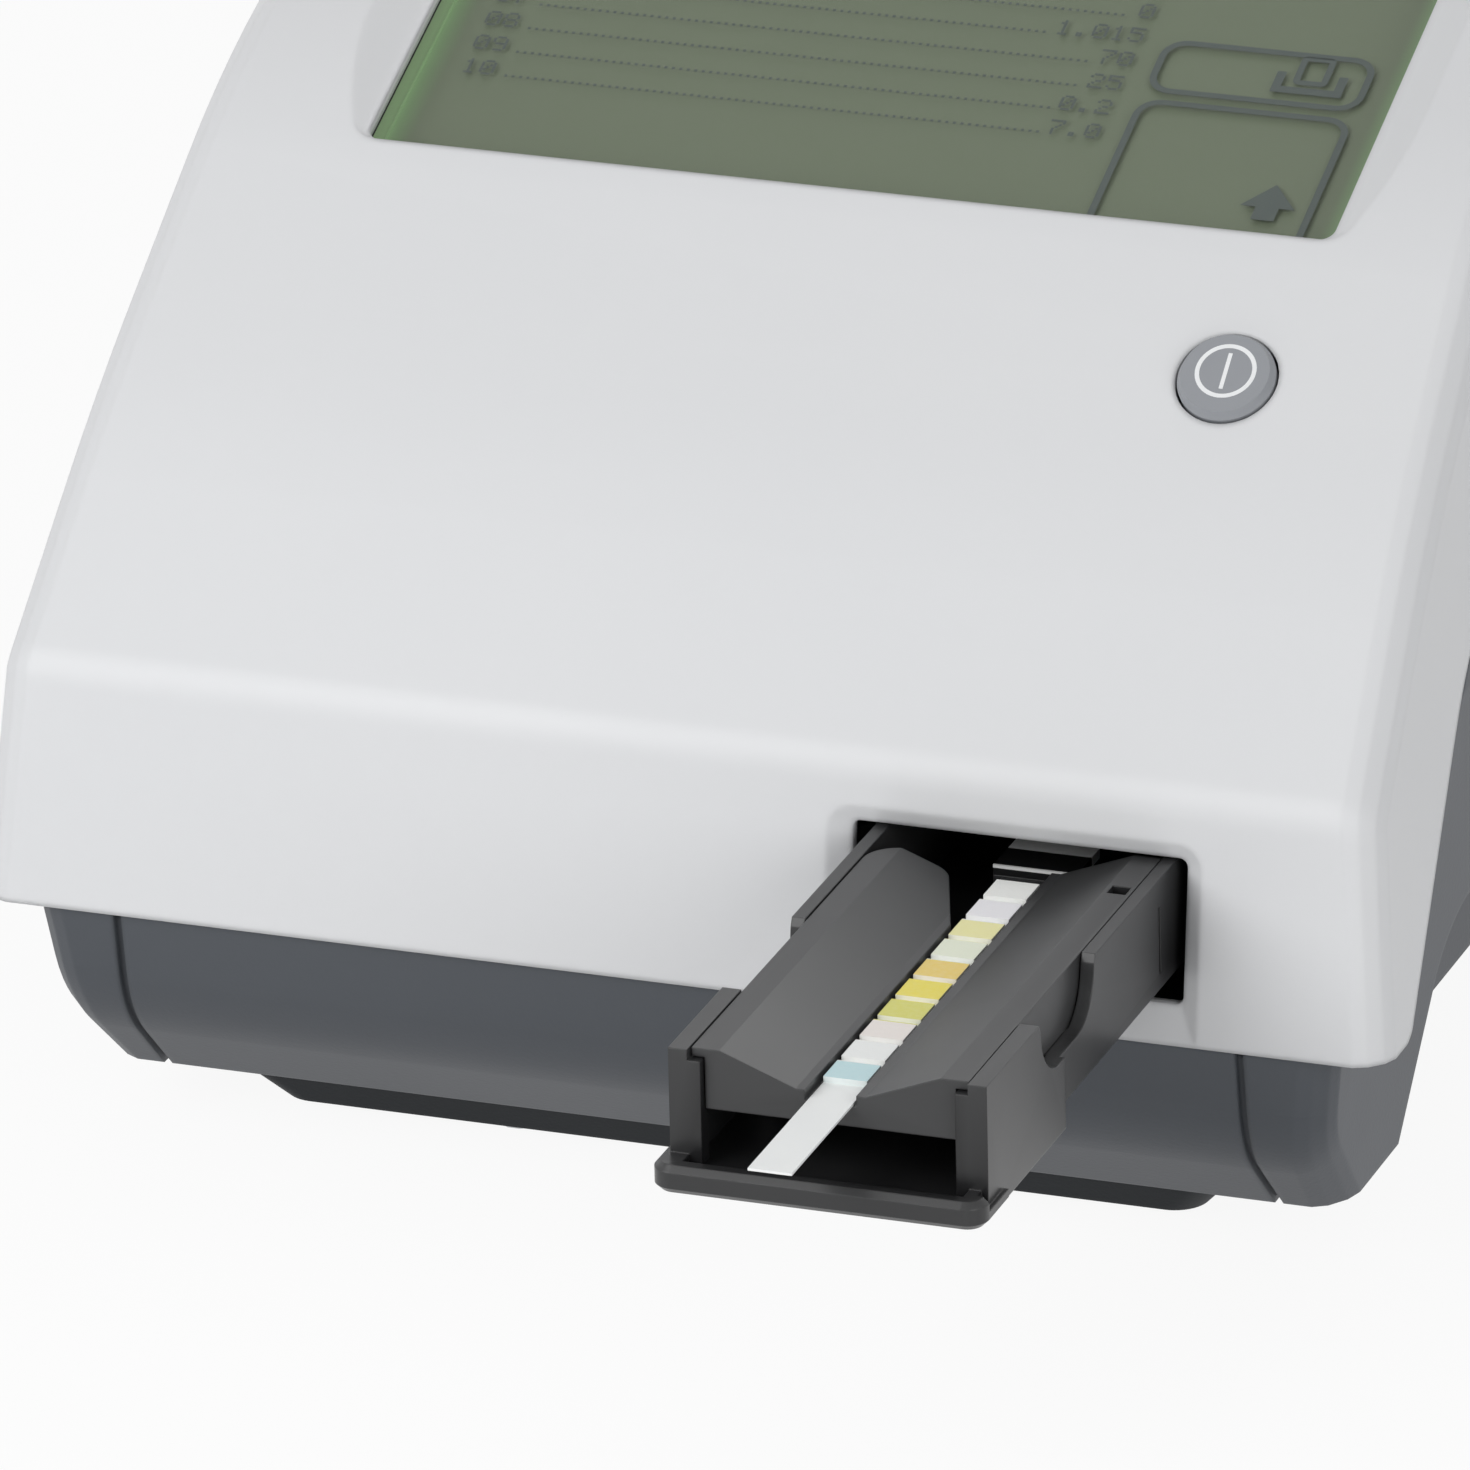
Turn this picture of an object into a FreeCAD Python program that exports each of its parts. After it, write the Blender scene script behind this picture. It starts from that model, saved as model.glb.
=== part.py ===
import FreeCAD, Part
import math
import os

os.makedirs("parts", exist_ok=True)

Vector = FreeCAD.Vector
Rotation = FreeCAD.Rotation
Placement = FreeCAD.Placement

# Urine strip analyzer with its motor-driven strip table run out.
# Millimetres, +Z up, +X to the user's right, +Y towards the back.
# While modelling, y is measured from the front of the apron; write_node shifts every piece
# so that the origin is the bottom centre of the whole unit with its table run out.

# driving sizes of the unit
body_width = 171.0
body_depth = 272.0
body_height = 158.0
wall = 2.5
strip_length = 82.55
strip_overhang = 18.6
table_travel = 62.0

# clearances and helpers
fit_gap = 0.3
close_gap = 0.1
running_gap = 0.05
overrun = 1.0
joint_tolerance = 1e-6
half = 0.5
quarter = half * half
bore_side_count = 8

strip_reach = table_travel + strip_overhang
origin_y = half * (body_depth - strip_reach)


def write_node(name, *shapes):
    shape = shapes[0] if len(shapes) == 1 else Part.makeCompound(list(shapes))
    placed = shape.copy()
    placed.translate(Vector(0, -origin_y, 0))
    placed.exportStep("parts/%s.step" % name)
    print(name, len(placed.Solids), placed.isValid())


# shape helpers
def block(x_range, y_range, z_range):
    size = [pair[1] - pair[0] for pair in (x_range, y_range, z_range)]
    return Part.makeBox(*size, Vector(x_range[0], y_range[0], z_range[0]))


def spread(middle, size):
    return (middle - half * size, middle + half * size)


def grown(pair, low, high):
    return (pair[0] - low, pair[1] + high)


def mirrored(x_range):
    return (-x_range[1], -x_range[0])


def rod(start, axis, radius, length):
    return Part.makeCylinder(radius, length, Vector(*start), Vector(*axis))


# a many-sided rod, for what repeats out of sight
def sided_rod(start, axis, radius, length, side_count):
    along = Vector(*axis)
    across = Vector(1, 0, 0) if abs(along.x) < half else Vector(0, 1, 0)
    other = along.cross(across)
    corners = []
    for index in range(side_count + 1):
        angle = 2 * math.pi * (index + half) / side_count
        outward = across * math.cos(angle) + other * math.sin(angle)
        corners.append(Vector(*start) + outward * radius)
    return Part.Face(Part.makePolygon(corners)).extrude(along * length)


# a bore out of sight with few sides; its flats just clear a round pin of that radius
def sided_bore(start, axis, radius, length):
    reach = radius / math.cos(math.pi / bore_side_count)
    return sided_rod(start, axis, reach, length, bore_side_count)


# corners are (a, b, radius); a radius of 0 keeps the corner sharp
def rounded_wire(corners, place):
    spans = []
    for index, (a, b, radius) in enumerate(corners):
        here = Vector(a, b, 0)
        back = (Vector(*corners[index - 1][:2], 0) - here).normalize()
        onward = (Vector(*corners[(index + 1) % len(corners)][:2], 0) - here).normalize()
        if radius == 0:
            spans.append((here, None, here))
            continue
        half_angle = half * back.getAngle(onward)
        middle = (back + onward).normalize()
        centre = here + middle * (radius / math.sin(half_angle))
        reach = radius / math.tan(half_angle)
        spans.append((here + back * reach, centre - middle * radius, here + onward * reach))
    edges = []
    for index, (start, middle, stop) in enumerate(spans):
        if middle is not None:
            edges.append(Part.Arc(place(start), place(middle), place(stop)).toShape())
        following = spans[(index + 1) % len(spans)][0]
        if (following - stop).Length > joint_tolerance:
            edges.append(Part.makeLine(place(stop), place(following)))
    return Part.Wire(edges)


def box_corners(a_range, b_range, radius=0):
    (a0, a1), (b0, b1) = a_range, b_range
    return [(a0, b0, radius), (a1, b0, radius), (a1, b1, radius), (a0, b1, radius)]


def flat_face(corners, along, level=0.0):
    places = {
        "x": lambda p: Vector(level, p.x, p.y),
        "y": lambda p: Vector(p.x, level, p.y),
        "z": lambda p: Vector(p.x, p.y, level),
    }
    return Part.Face(rounded_wire(corners, places[along]))


directions = {"x": Vector(1, 0, 0), "y": Vector(0, 1, 0), "z": Vector(0, 0, 1)}


def prism(corners, along, low, high, inset=0.0):
    face = flat_face(corners, along, low)
    if inset:
        face = face.makeOffset2D(-inset)
    return face.extrude(directions[along] * (high - low))


def rounded_block(x_range, y_range, z_range, radius):
    return prism(box_corners(x_range, y_range, radius), "z", *z_range)


def join(*shapes):
    return shapes[0].fuse(list(shapes[1:])).removeSplitter()


# outer form: a side outline drawn in (y, z), and side walls that lean in towards the top
half_width = half * body_width
apron_bottom = 31.0
above_apron = body_height - apron_bottom
crease_y = 4.0
crease_height_share = 0.22441
crease_round = 7.0
panel_low_y = 30.0
panel_low_height_share = 0.4252
panel_low_round = 180.0
panel_high_y = 66.0
panel_high_height_share = 0.6378
panel_high_round = 90.0
valley_length = 20.0
valley_height_share = 0.88263
valley_round = 25.0
hood_front_round = 26.0
hood_back_inset = 32.0
hood_back_round = 40.0
lid_back_inset = 19.0
lid_length = 62.0
lid_front_inset = 8.0
back_drop = 30.0
back_round = 25.0
side_taper = 0.08
edge_round = 5.0

crease_z = apron_bottom + crease_height_share * above_apron
panel_low_z = apron_bottom + panel_low_height_share * above_apron
panel_high_z = apron_bottom + panel_high_height_share * above_apron
hood_back_y = body_depth - hood_back_inset
lid_back_y = hood_back_y - lid_back_inset
lid_front_y = lid_back_y - lid_length
hood_front_y = lid_front_y + lid_front_inset
valley_y = hood_front_y - valley_length
valley_z = apron_bottom + valley_height_share * above_apron
display_slope = math.atan2(valley_z - panel_high_z, valley_y - panel_high_y)

upper_outline = [
    (crease_y, crease_z, crease_round),
    (panel_low_y, panel_low_z, panel_low_round),
    (panel_high_y, panel_high_z, panel_high_round),
    (valley_y, valley_z, valley_round),
    (hood_front_y, body_height, hood_front_round),
    (hood_back_y, body_height, hood_back_round),
    (body_depth, body_height - back_drop, back_round),
]
body_outline = [(0.0, apron_bottom, 0)] + upper_outline + [(body_depth, apron_bottom, 0)]

# dark lower housing: a curved-under foot and a seam that climbs with the panel
foot_z = 6.5
foot_front_y = 0.6
foot_curve_y = 2.6
foot_curve_z = 17.8
foot_curve_round = 16.0
foot_inset = 14.5
seam_start_y = 9.5
seam_start_round = 4.0
seam_low_y = 36.6
seam_low_drop = 22.8
seam_low_round = 60.0
seam_high_y = 68.0
seam_high_drop = 25.0
seam_high_round = 80.0
seam_end_y = 150.0
seam_end_drop = 40.0
seam_end_round = 40.0
side_flare = 0.13
flare_foot_z = 8.0
flare_inset = 9.5

flare_foot_half = half_width - flare_inset
seam_end_z = body_height - seam_end_drop
foot_outline = [
    (body_depth, foot_curve_z, foot_curve_round),
    (body_depth - foot_inset, foot_z, 0),
    (foot_inset, foot_z, 0),
    (foot_curve_y, foot_curve_z, foot_curve_round),
    (foot_front_y, apron_bottom, 0),
]
seam_line = [
    (seam_start_y, apron_bottom, seam_start_round),
    (seam_low_y, panel_low_z - seam_low_drop, seam_low_round),
    (seam_high_y, panel_high_z - seam_high_drop, seam_high_round),
    (seam_end_y, seam_end_z, seam_end_round),
]
tub_outline = seam_line + [(body_depth, seam_end_z, 0)] + foot_outline
above_seam = seam_line + [
    (body_depth + overrun, seam_end_z, 0),
    (body_depth + overrun, body_height + overrun, 0),
    (-overrun, body_height + overrun, 0),
    (-overrun, apron_bottom, 0),
]


def taper_half(z):
    return half_width - side_taper * (z - apron_bottom)


def flare_half(z):
    return flare_foot_half + side_flare * (z - flare_foot_z)


def hull_half(z):
    return min(taper_half(z), flare_half(z))


widest_z = (half_width + side_taper * apron_bottom - flare_foot_half + side_flare * flare_foot_z) / (
    side_taper + side_flare)


def side_section(levels, inset):
    right = [(width_at(z) - inset, z, 0) for z, width_at in levels]
    left = [(-x, z, radius) for x, z, radius in reversed(right)]
    return right + left


def upper_body(inset):
    raw = prism(body_outline, "x", -half_width, half_width, inset)
    section = side_section([(apron_bottom, taper_half), (body_height + overrun, taper_half)], inset)
    return raw.common(prism(section, "y", -overrun, body_depth + overrun))


def lower_body(outline, inset):
    raw = prism(outline, "x", -half_width, half_width, inset)
    levels = [(0.0, flare_half), (widest_z, flare_half), (body_height + overrun, taper_half)]
    section = side_section(levels, inset)
    return raw.common(prism(section, "y", -overrun, body_depth + overrun))


# edges between the side walls and the rest are rounded in three bevel strips that touch the round
bevel_turn_count = 16
first_bevel = edge_round * (2 - math.sqrt(2))
second_bevel = edge_round * math.tan(math.pi / bevel_turn_count)


def side_edges(solid, width_at, keep, nearest, farthest):
    chosen = []
    for edge in solid.Edges:
        points = [edge.valueAt(edge.FirstParameter + share * (edge.LastParameter - edge.FirstParameter))
                  for share in (0, half, 1)]
        depths = [width_at(p.z) - abs(p.x) for p in points]
        if min(depths) > nearest and max(depths) < farthest and keep(points):
            chosen.append(edge)
    return chosen


def soften_sides(solid, width_at, keep):
    solid = solid.makeChamfer(first_bevel, side_edges(solid, width_at, keep, -running_gap, running_gap))
    solid = solid.makeChamfer(second_bevel, side_edges(solid, width_at, keep, -running_gap, running_gap))
    reach = first_bevel + second_bevel
    inner_edges = side_edges(solid, width_at, keep, half * reach, reach)
    return solid.makeChamfer(second_bevel, inner_edges)


def over_apron(points):
    return max(p.z for p in points) > apron_bottom + joint_tolerance


# finger recesses along both sides, under the wide part of the housing
grip_front_y = 33.0
grip_lean = 11.0
grip_top_z = 31.3
grip_inset = 19.5
grip_round = 12.0
grip_inner_x = half_width - grip_inset


def grip_cut(side, grow):
    front_low = grip_front_y
    front_high = grip_front_y + grip_lean
    corners = [
        (front_low, foot_z - wall - overrun, 0),
        (front_high, grip_top_z, grip_round),
        (body_depth - front_high, grip_top_z, grip_round),
        (body_depth - front_low, foot_z - wall - overrun, 0),
    ]
    low, high = sorted((side * (grip_inner_x - grow), side * (half_width + overrun)))
    return prism(corners, "x", low, high, -grow)


inner_space = lower_body(upper_outline + foot_outline, wall)
for side in (-1, 1):
    inner_space = inner_space.cut(grip_cut(side, wall))

# places across the strip table: its guide stands beside the right finger recess
guide_clearance = 0.65
guide_wall = 3.0
guide_side_gap = 0.3
rear_inset = 0.6
table_width = 37.0
guide_right = (grip_inner_x - wall - guide_clearance - guide_wall, grip_inner_x - wall - guide_clearance)
table_right = guide_right[0] - guide_side_gap + rear_inset
table_x = (table_right - table_width, table_right)
table_middle = half * (table_x[0] + table_x[1])
rear_x = grown(table_x, -rear_inset, -rear_inset)
guide_left = (rear_x[0] - guide_side_gap - guide_wall, rear_x[0] - guide_side_gap)

# table slot in the apron, with a soft dished border that runs down to the apron's bottom edge
slot_shift = 0.5
slot_width = 39.9
slot_bottom = 35.3
slot_top = 52.3
slot_round = 1.0
border_left = 2.8
border_right = 2.0
border_top = 2.2
border_round = 3.0
border_depth = 1.2
slot_x = spread(table_middle - slot_shift, slot_width)
slot_z = (slot_bottom, slot_top)
apron_lean = math.atan2(crease_y, crease_z - apron_bottom)

# display opening, in the tilted plane of the display
display_y = 59.0
display_drop = 5.6
panel_band = 26.5
display_top_gap = 5.845
opening_middle = 1.5
opening_round = 2.0
bevel_height = 6.0
bevel_side = 11.5
bevel_foot = 0.8
bevel_bottom_share = 0.12
bezel_thickness = 1.2
bezel_margin = 7.0
opening_x = spread(0.0, body_width - 2 * panel_band)
opening_u = (0.0, (valley_y - display_y - display_top_gap) / math.cos(display_slope))
display_z = panel_high_z - display_drop
display_place = Placement(Vector(opening_middle, display_y, display_z),
                          Rotation(Vector(1, 0, 0), math.degrees(display_slope)))


def in_display(shape):
    placed = shape.copy()
    placed.Placement = display_place.multiply(placed.Placement)
    return placed


def bevel_wire(side, bottom, level, radius):
    corners = box_corners(grown(opening_x, side, side), grown(opening_u, bottom, side), radius)
    return rounded_wire(corners, lambda p: Vector(p.x, p.y, level))


# display stack behind the opening: gasket, touch screen, liquid crystal module and its board
stack_margin = 5.0
stack_foot = 1.5
gasket_thickness = 0.4
screen_thickness = 1.8
module_thickness = 7.0
board_thickness = 1.6
stack_x = grown(opening_x, stack_margin, stack_margin)
stack_u = grown(opening_u, stack_foot, stack_margin)
gasket_top = -bezel_thickness
screen_top = gasket_top - gasket_thickness
module_top = screen_top - screen_thickness
display_board_top = module_top - module_thickness
display_board_low = display_board_top - board_thickness

# power button, square to the panel between its two low corners
button_inset = 32.3
button_y = 43.0
button_hole_radius = 6.05
button_cap_radius = 5.75
button_face_radius = 5.2
button_proud = 1.2
button_skirt = 1.0
button_travel = 1.0
button_sleeve_wall = 1.6
sleeve_side_count = 12
button_sleeve_depth = 9.6
panel_slope = math.atan2(panel_high_z - panel_low_z, panel_high_y - panel_low_y)
button_z = panel_low_z + (button_y - panel_low_y) * math.tan(panel_slope)
button_place = Placement(Vector(half_width - button_inset, button_y, button_z),
                         Rotation(Vector(1, 0, 0), math.degrees(panel_slope)))


def in_button(shape):
    placed = shape.copy()
    placed.Placement = button_place.multiply(placed.Placement)
    return placed


# places of the printer lid and its hinge
lid_half = 41.0
lid_gap = 0.5
lid_round = 3.0
lid_floor_drop = 28.0
hinge_drop = 1.7
hinge_trough = 2.4
pin_radius = 0.8
knuckle_radius = 1.6
knuckle_length = 8.0
knuckle_x = 30.0
ear_length = 5.0
paper_slot_width = 4.0
lid_floor_z = body_height - lid_floor_drop
hinge_z = body_height - hinge_drop
ear_low_z = hinge_z - knuckle_radius
ear_start = knuckle_x + half * knuckle_length + fit_gap
ear_x = (ear_start, ear_start + ear_length)


def lid_region(grow, back_extra):
    return rounded_block((-lid_half - grow, lid_half + grow), (lid_front_y - grow, lid_back_y + back_extra),
                         (lid_floor_z, body_height + overrun), lid_round)


# top cover
upper_shell = soften_sides(upper_body(0.0), taper_half, over_apron)
upper_hollow = upper_body(wall)


def slot_border():
    def wire(x_range, z_range, level, radius):
        (x0, x1), (z0, z1) = x_range, z_range
        corners = [(x0, z0, 0), (x1, z0, 0), (x1, z1, radius), (x0, z1, radius)]
        return rounded_wire(corners, lambda p: Vector(p.x, level, p.y))

    border_x = grown(slot_x, border_left, border_right)
    border_z = (apron_bottom + close_gap, slot_top + border_top)
    inner = wire(slot_x, slot_z, border_depth, slot_round)
    outer = wire(border_x, border_z, 0.0, border_round)
    front = wire(border_x, border_z, -overrun, border_round)
    dish = Part.makeLoft([inner, outer], True, True).fuse(Part.makeLoft([outer, front], True, True))
    dish.rotate(Vector(0, 0, apron_bottom), Vector(1, 0, 0), -math.degrees(apron_lean))
    return dish


def button_sleeve():
    outer = button_hole_radius + button_sleeve_wall
    return in_button(sided_rod((0, 0, -button_sleeve_depth), (0, 0, 1), outer, button_sleeve_depth,
                               sleeve_side_count))


def button_bore():
    return in_button(rod((0, 0, -button_sleeve_depth - overrun), (0, 0, 1), button_hole_radius,
                         button_sleeve_depth + wall))


def hinge_ears():
    ears = []
    for x_range in (ear_x, mirrored(ear_x)):
        ear = block(x_range, (lid_back_y - knuckle_radius, lid_back_y + hinge_trough + wall),
                    (ear_low_z, hinge_z + knuckle_radius - close_gap))
        bore_start = (x_range[0], lid_back_y, hinge_z)
        ears.append(ear.cut(sided_bore(bore_start, (1, 0, 0), pin_radius, ear_length)))
    return ears


def display_cut():
    bevel = Part.makeLoft([
        bevel_wire(bevel_foot, 0.0, 0.0, opening_round),
        bevel_wire(bevel_side, bevel_side * bevel_bottom_share, bevel_height, opening_round + edge_round),
    ], True)
    hole = rounded_block(opening_x, opening_u, (-bezel_thickness - overrun, overrun), opening_round)
    pocket = block(grown(stack_x, fit_gap, fit_gap), grown(stack_u, fit_gap, fit_gap),
                   (display_board_low - wall, gasket_top))
    return [in_display(form) for form in (bevel, hole, pocket)]


def make_top_cover():
    above_flange = [(y, z + wall, radius) if z < body_height else (y, z, radius)
                    for y, z, radius in above_seam]
    hollow = upper_hollow.common(prism(above_flange, "x", -half_width, half_width))
    apron_back = block((-half_width, half_width), (foot_front_y + wall, body_depth - wall),
                       (apron_bottom - overrun, apron_bottom + wall + overrun))
    cover = upper_shell.common(prism(above_seam, "x", -half_width, half_width))
    cover = cover.cut(hollow).cut(inner_space.common(upper_hollow.fuse(apron_back)))
    bezel = block(grown(opening_x, bezel_margin, bezel_margin), grown(opening_u, bezel_margin, bezel_margin),
                  (-bezel_thickness, bevel_height))
    cover = cover.fuse(upper_shell.common(in_display(bezel))).cut(display_cut())
    cover = cover.fuse(upper_shell.common(button_sleeve())).cut(button_bore())
    slot = prism(box_corners(slot_x, slot_z, slot_round), "y", -overrun, crease_y + wall * 2)
    cover = cover.cut(slot).cut(slot_border())
    trough = block((-lid_half - lid_gap, lid_half + lid_gap),
                   (lid_back_y - knuckle_radius, lid_back_y + hinge_trough),
                   (hinge_z - knuckle_radius - fit_gap, body_height + overrun))
    paper_slot = block((-lid_half + lid_round, lid_half - lid_round),
                       (lid_front_y - paper_slot_width, lid_front_y), (lid_floor_z, body_height))
    cover = cover.cut([lid_region(lid_gap, hinge_trough), trough, paper_slot])
    return join(cover, *hinge_ears())


write_node("top_cover", make_top_cover())


# printer lid with two knuckles and its hinge pins
def make_printer_lid():
    lid = upper_shell.cut(upper_hollow).common(lid_region(0.0, 0.0))
    knuckle_starts = (knuckle_x - half * knuckle_length, -knuckle_x - half * knuckle_length)
    lid = lid.fuse([rod((start, lid_back_y, hinge_z), (1, 0, 0), knuckle_radius, knuckle_length)
                    for start in knuckle_starts])
    ear_room = [block(grown(x_range, fit_gap, fit_gap),
                      (lid_back_y - knuckle_radius * 2, lid_back_y + overrun),
                      (ear_low_z - overrun, body_height + overrun))
                for x_range in (ear_x, mirrored(ear_x))]
    lid = lid.cut(ear_room)
    bores = [sided_bore((start - overrun, lid_back_y, hinge_z), (1, 0, 0), pin_radius + running_gap,
                        knuckle_length + overrun * 2) for start in knuckle_starts]
    return lid.cut(bores).removeSplitter()


write_node("printer_lid", make_printer_lid())
pin_x = (knuckle_x - half * knuckle_length, ear_x[1])
write_node("lid_hinge_pins", *[rod((x_range[0], lid_back_y, hinge_z), (1, 0, 0), pin_radius,
                                   x_range[1] - x_range[0]) for x_range in (pin_x, mirrored(pin_x))])

# display stack
gasket = block(stack_x, stack_u, (screen_top, gasket_top)).cut(
    block(opening_x, opening_u, (screen_top - overrun, gasket_top + overrun)))
write_node("display_gasket", in_display(gasket))
write_node("touch_screen", in_display(block(stack_x, stack_u, (module_top, screen_top))))
module_recess = 0.5
module_body = block(stack_x, stack_u, (display_board_top, module_top))
module_window = block(grown(opening_x, -module_recess, -module_recess),
                      grown(opening_u, -module_recess, -module_recess),
                      (module_top - module_recess, module_top))
write_node("display_module", in_display(module_body.cut(module_window)))
board_inset = 4.0
display_board = block(grown(stack_x, -board_inset, -board_inset), grown(stack_u, -board_inset, -board_inset),
                      (display_board_low, display_board_top))
write_node("display_board", in_display(display_board))

# power button cap with its sloped skirt, its switch and board
cap_depth = 2.5
stem_radius = 1.5
stem_side_count = 6
switch_size = 6.0
switch_height = 3.4
plunger_gap = 0.1
switch_board_size = 17.0
switch_board_top = -button_sleeve_depth
switch_top = switch_board_top + switch_height
stem_low = switch_top + plunger_gap + button_travel
skirt_low = button_proud - button_skirt
cap = rod((0, 0, -cap_depth), (0, 0, 1), button_cap_radius, cap_depth + skirt_low)
skirt = Part.makeCone(button_cap_radius, button_face_radius, button_skirt, Vector(0, 0, skirt_low))
stem = sided_rod((0, 0, stem_low), (0, 0, 1), stem_radius, -cap_depth - stem_low, stem_side_count)
write_node("power_button", in_button(join(cap, skirt, stem)))
switch_span = spread(0.0, switch_size)
write_node("button_switch", in_button(block(switch_span, switch_span, (switch_board_top, switch_top))))
switch_board_span = spread(0.0, switch_board_size)
write_node("button_board", in_button(block(
    switch_board_span, switch_board_span, (switch_board_top - board_thickness, switch_board_top))))

# places of the batteries, screws and rear ports, which the housing and the pan share
foot_level = foot_z + wall
battery_length = 50.5
battery_radius = 7.25
battery_pitch = 15.0
battery_column_count = 3
battery_row_count = 2
battery_side_count = 16
holder_wall = 1.2
holder_end = 2.4
holder_back_inset = 22.0
holder_half = half * battery_column_count * battery_pitch + holder_wall
holder_back = body_depth - holder_back_inset
holder_front = holder_back - battery_row_count * (battery_length + holder_end) - holder_wall
battery_z = foot_level + holder_wall + battery_radius
battery_x = spread(0.0, 2 * (holder_half - holder_wall))
battery_y = (holder_front + holder_wall, holder_back - holder_end)

pan_inset = 24.5
pan_lean = 4.5
pan_bottom = 1.5
pan_top_half = half_width - pan_inset
pan_low_half = pan_top_half - pan_lean
screw_side_count = 8
screw_radius = 1.5
screw_front_inset = (28.5, 24.5)
screw_rear_inset = (4.5, 46.0)
screw_front = (pan_low_half - screw_front_inset[0], screw_front_inset[1])
screw_rear = (pan_low_half - screw_rear_inset[0], body_depth - screw_rear_inset[1])
screw_places = [(side * x, y) for x, y in (screw_front, screw_rear) for side in (-1, 1)]
boss_size = 8.0
boss_height = 11.0

port_z = 44.0
jack_inset = 8.0
serial_pitch = 26.0
card_pitch = 38.0
jack_radius = 4.0
serial_width = 19.0
serial_height = 10.5
card_width = 24.0
card_thickness = 2.8
rear_wall_y = body_depth - wall
jack_x = grip_inner_x - jack_inset
serial_x = jack_x - serial_pitch
card_x = serial_x - card_pitch
wall_y = (rear_wall_y - overrun, body_depth + overrun)

# grooves down the front of the lower housing, beside its corners
groove_x = 68.0
groove_width = 1.0
groove_depth = 0.8
groove_end_y = 26.0


def front_foot(points):
    low = min(p.z for p in points)
    high = max(p.y for p in points)
    return low < apron_bottom - overrun and high < foot_inset + joint_tolerance


def rear_edge(points):
    low_z = min(p.z for p in points)
    low_y = min(p.y for p in points)
    return low_y > body_depth - foot_inset - joint_tolerance and low_z < seam_end_z - overrun


def front_groove(middle):
    outside = prism(tub_outline, "x", *spread(middle, groove_width))
    inside = prism(tub_outline, "x", *spread(middle, groove_width), groove_depth)
    front = block(spread(middle, groove_width), (-overrun, groove_end_y), (foot_z - overrun, apron_bottom))
    return outside.cut(inside).common(front)


def make_lower_housing():
    tub = lower_body(tub_outline, 0.0)
    for at_corner in (front_foot, rear_edge):
        tub = soften_sides(tub, hull_half, at_corner)
    tub = tub.cut([grip_cut(side, 0.0) for side in (-1, 1)]).cut(inner_space)
    tub = tub.cut([front_groove(middle) for middle in (-groove_x, groove_x)])
    for x, y in screw_places:
        boss = block(spread(x, boss_size), spread(y, boss_size), (foot_z, foot_z + boss_height))
        hole = sided_rod((x, y, foot_z - overrun), (0, 0, 1), screw_radius, boss_height, screw_side_count)
        tub = tub.fuse(boss).cut(hole)
    openings = [
        block(battery_x, battery_y, (foot_z - overrun, foot_level + overrun)),
        rod((jack_x, wall_y[0], port_z), (0, 1, 0), jack_radius, wall_y[1] - wall_y[0]),
        block(spread(serial_x, serial_width), wall_y, spread(port_z, serial_height)),
        block(spread(card_x, card_width), wall_y, spread(port_z, card_thickness)),
    ]
    return tub.cut(openings).removeSplitter()


write_node("lower_housing", make_lower_housing())

# base pan under the housing, with the sliding battery door and the rubber feet
pan_front_top = 16.0
pan_front_low = 19.5
pan_corner = 4.0
pan_wall = 1.8
foot_size = 12.0
foot_recess = 1.0
recess_top = pan_bottom + foot_recess
foot_side_share = 0.6223
foot_row_inset = 32.0
door_half = holder_half + wall
door_front = holder_front - wall
foot_x = door_half + wall + foot_side_share * (pan_low_half - door_half - wall)
foot_rows = (foot_row_inset, body_depth - foot_row_inset)
foot_places = [(x, y) for x in (-foot_x, foot_x) for y in foot_rows]


def pan_wire(half_x, front, level):
    corners = box_corners((-half_x, half_x), (front, body_depth - front), pan_corner)
    return rounded_wire(corners, lambda p: Vector(p.x, p.y, level))


def make_base_pan(whole):
    hollow = block((pan_wall - pan_low_half, pan_low_half - pan_wall),
                   (pan_front_low + pan_wall, body_depth - pan_front_low - pan_wall),
                   (pan_bottom + pan_wall, foot_z + overrun))
    pan = whole.cut(hollow)
    post_size = foot_size + pan_wall * 2
    posts = [block(spread(x, post_size), spread(y, post_size), (pan_bottom, foot_z)) for x, y in foot_places]
    recesses = [block(spread(x, foot_size), spread(y, foot_size), (pan_bottom - overrun, recess_top))
                for x, y in foot_places]
    for x, y in screw_places:
        post = block(spread(x, boss_size), spread(y, boss_size), (pan_bottom, foot_z))
        hole = sided_rod((x, y, pan_bottom - overrun), (0, 0, 1), screw_radius + running_gap, foot_z,
                         screw_side_count)
        pan = pan.fuse(post).cut(hole)
    rim = block((-door_half - wall, door_half + wall), (door_front - wall, body_depth - pan_front_low),
                (pan_bottom, foot_z)).common(whole)
    door_zone = block((-door_half - fit_gap, door_half + fit_gap), (door_front - fit_gap, body_depth),
                      (pan_bottom - overrun, pan_bottom + pan_wall + fit_gap))
    window = block(battery_x, battery_y, (pan_bottom - overrun, foot_z + overrun))
    return pan.fuse([rim] + posts).cut([door_zone, window] + recesses).removeSplitter()


def make_battery_door(whole):
    rib_count = 5
    rib_pitch = 3.0
    rib_width = 1.2
    rib_depth = 0.5
    door = whole.common(block((-door_half, door_half), (door_front, body_depth),
                              (pan_bottom, pan_bottom + pan_wall)))
    first_rib = body_depth - pan_front_low - 2 * rib_pitch
    ribs = [block(spread(0.0, door_half), spread(first_rib - index * rib_pitch, rib_width),
                  (pan_bottom - overrun, pan_bottom + rib_depth)) for index in range(rib_count)]
    return door.cut(ribs)


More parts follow.
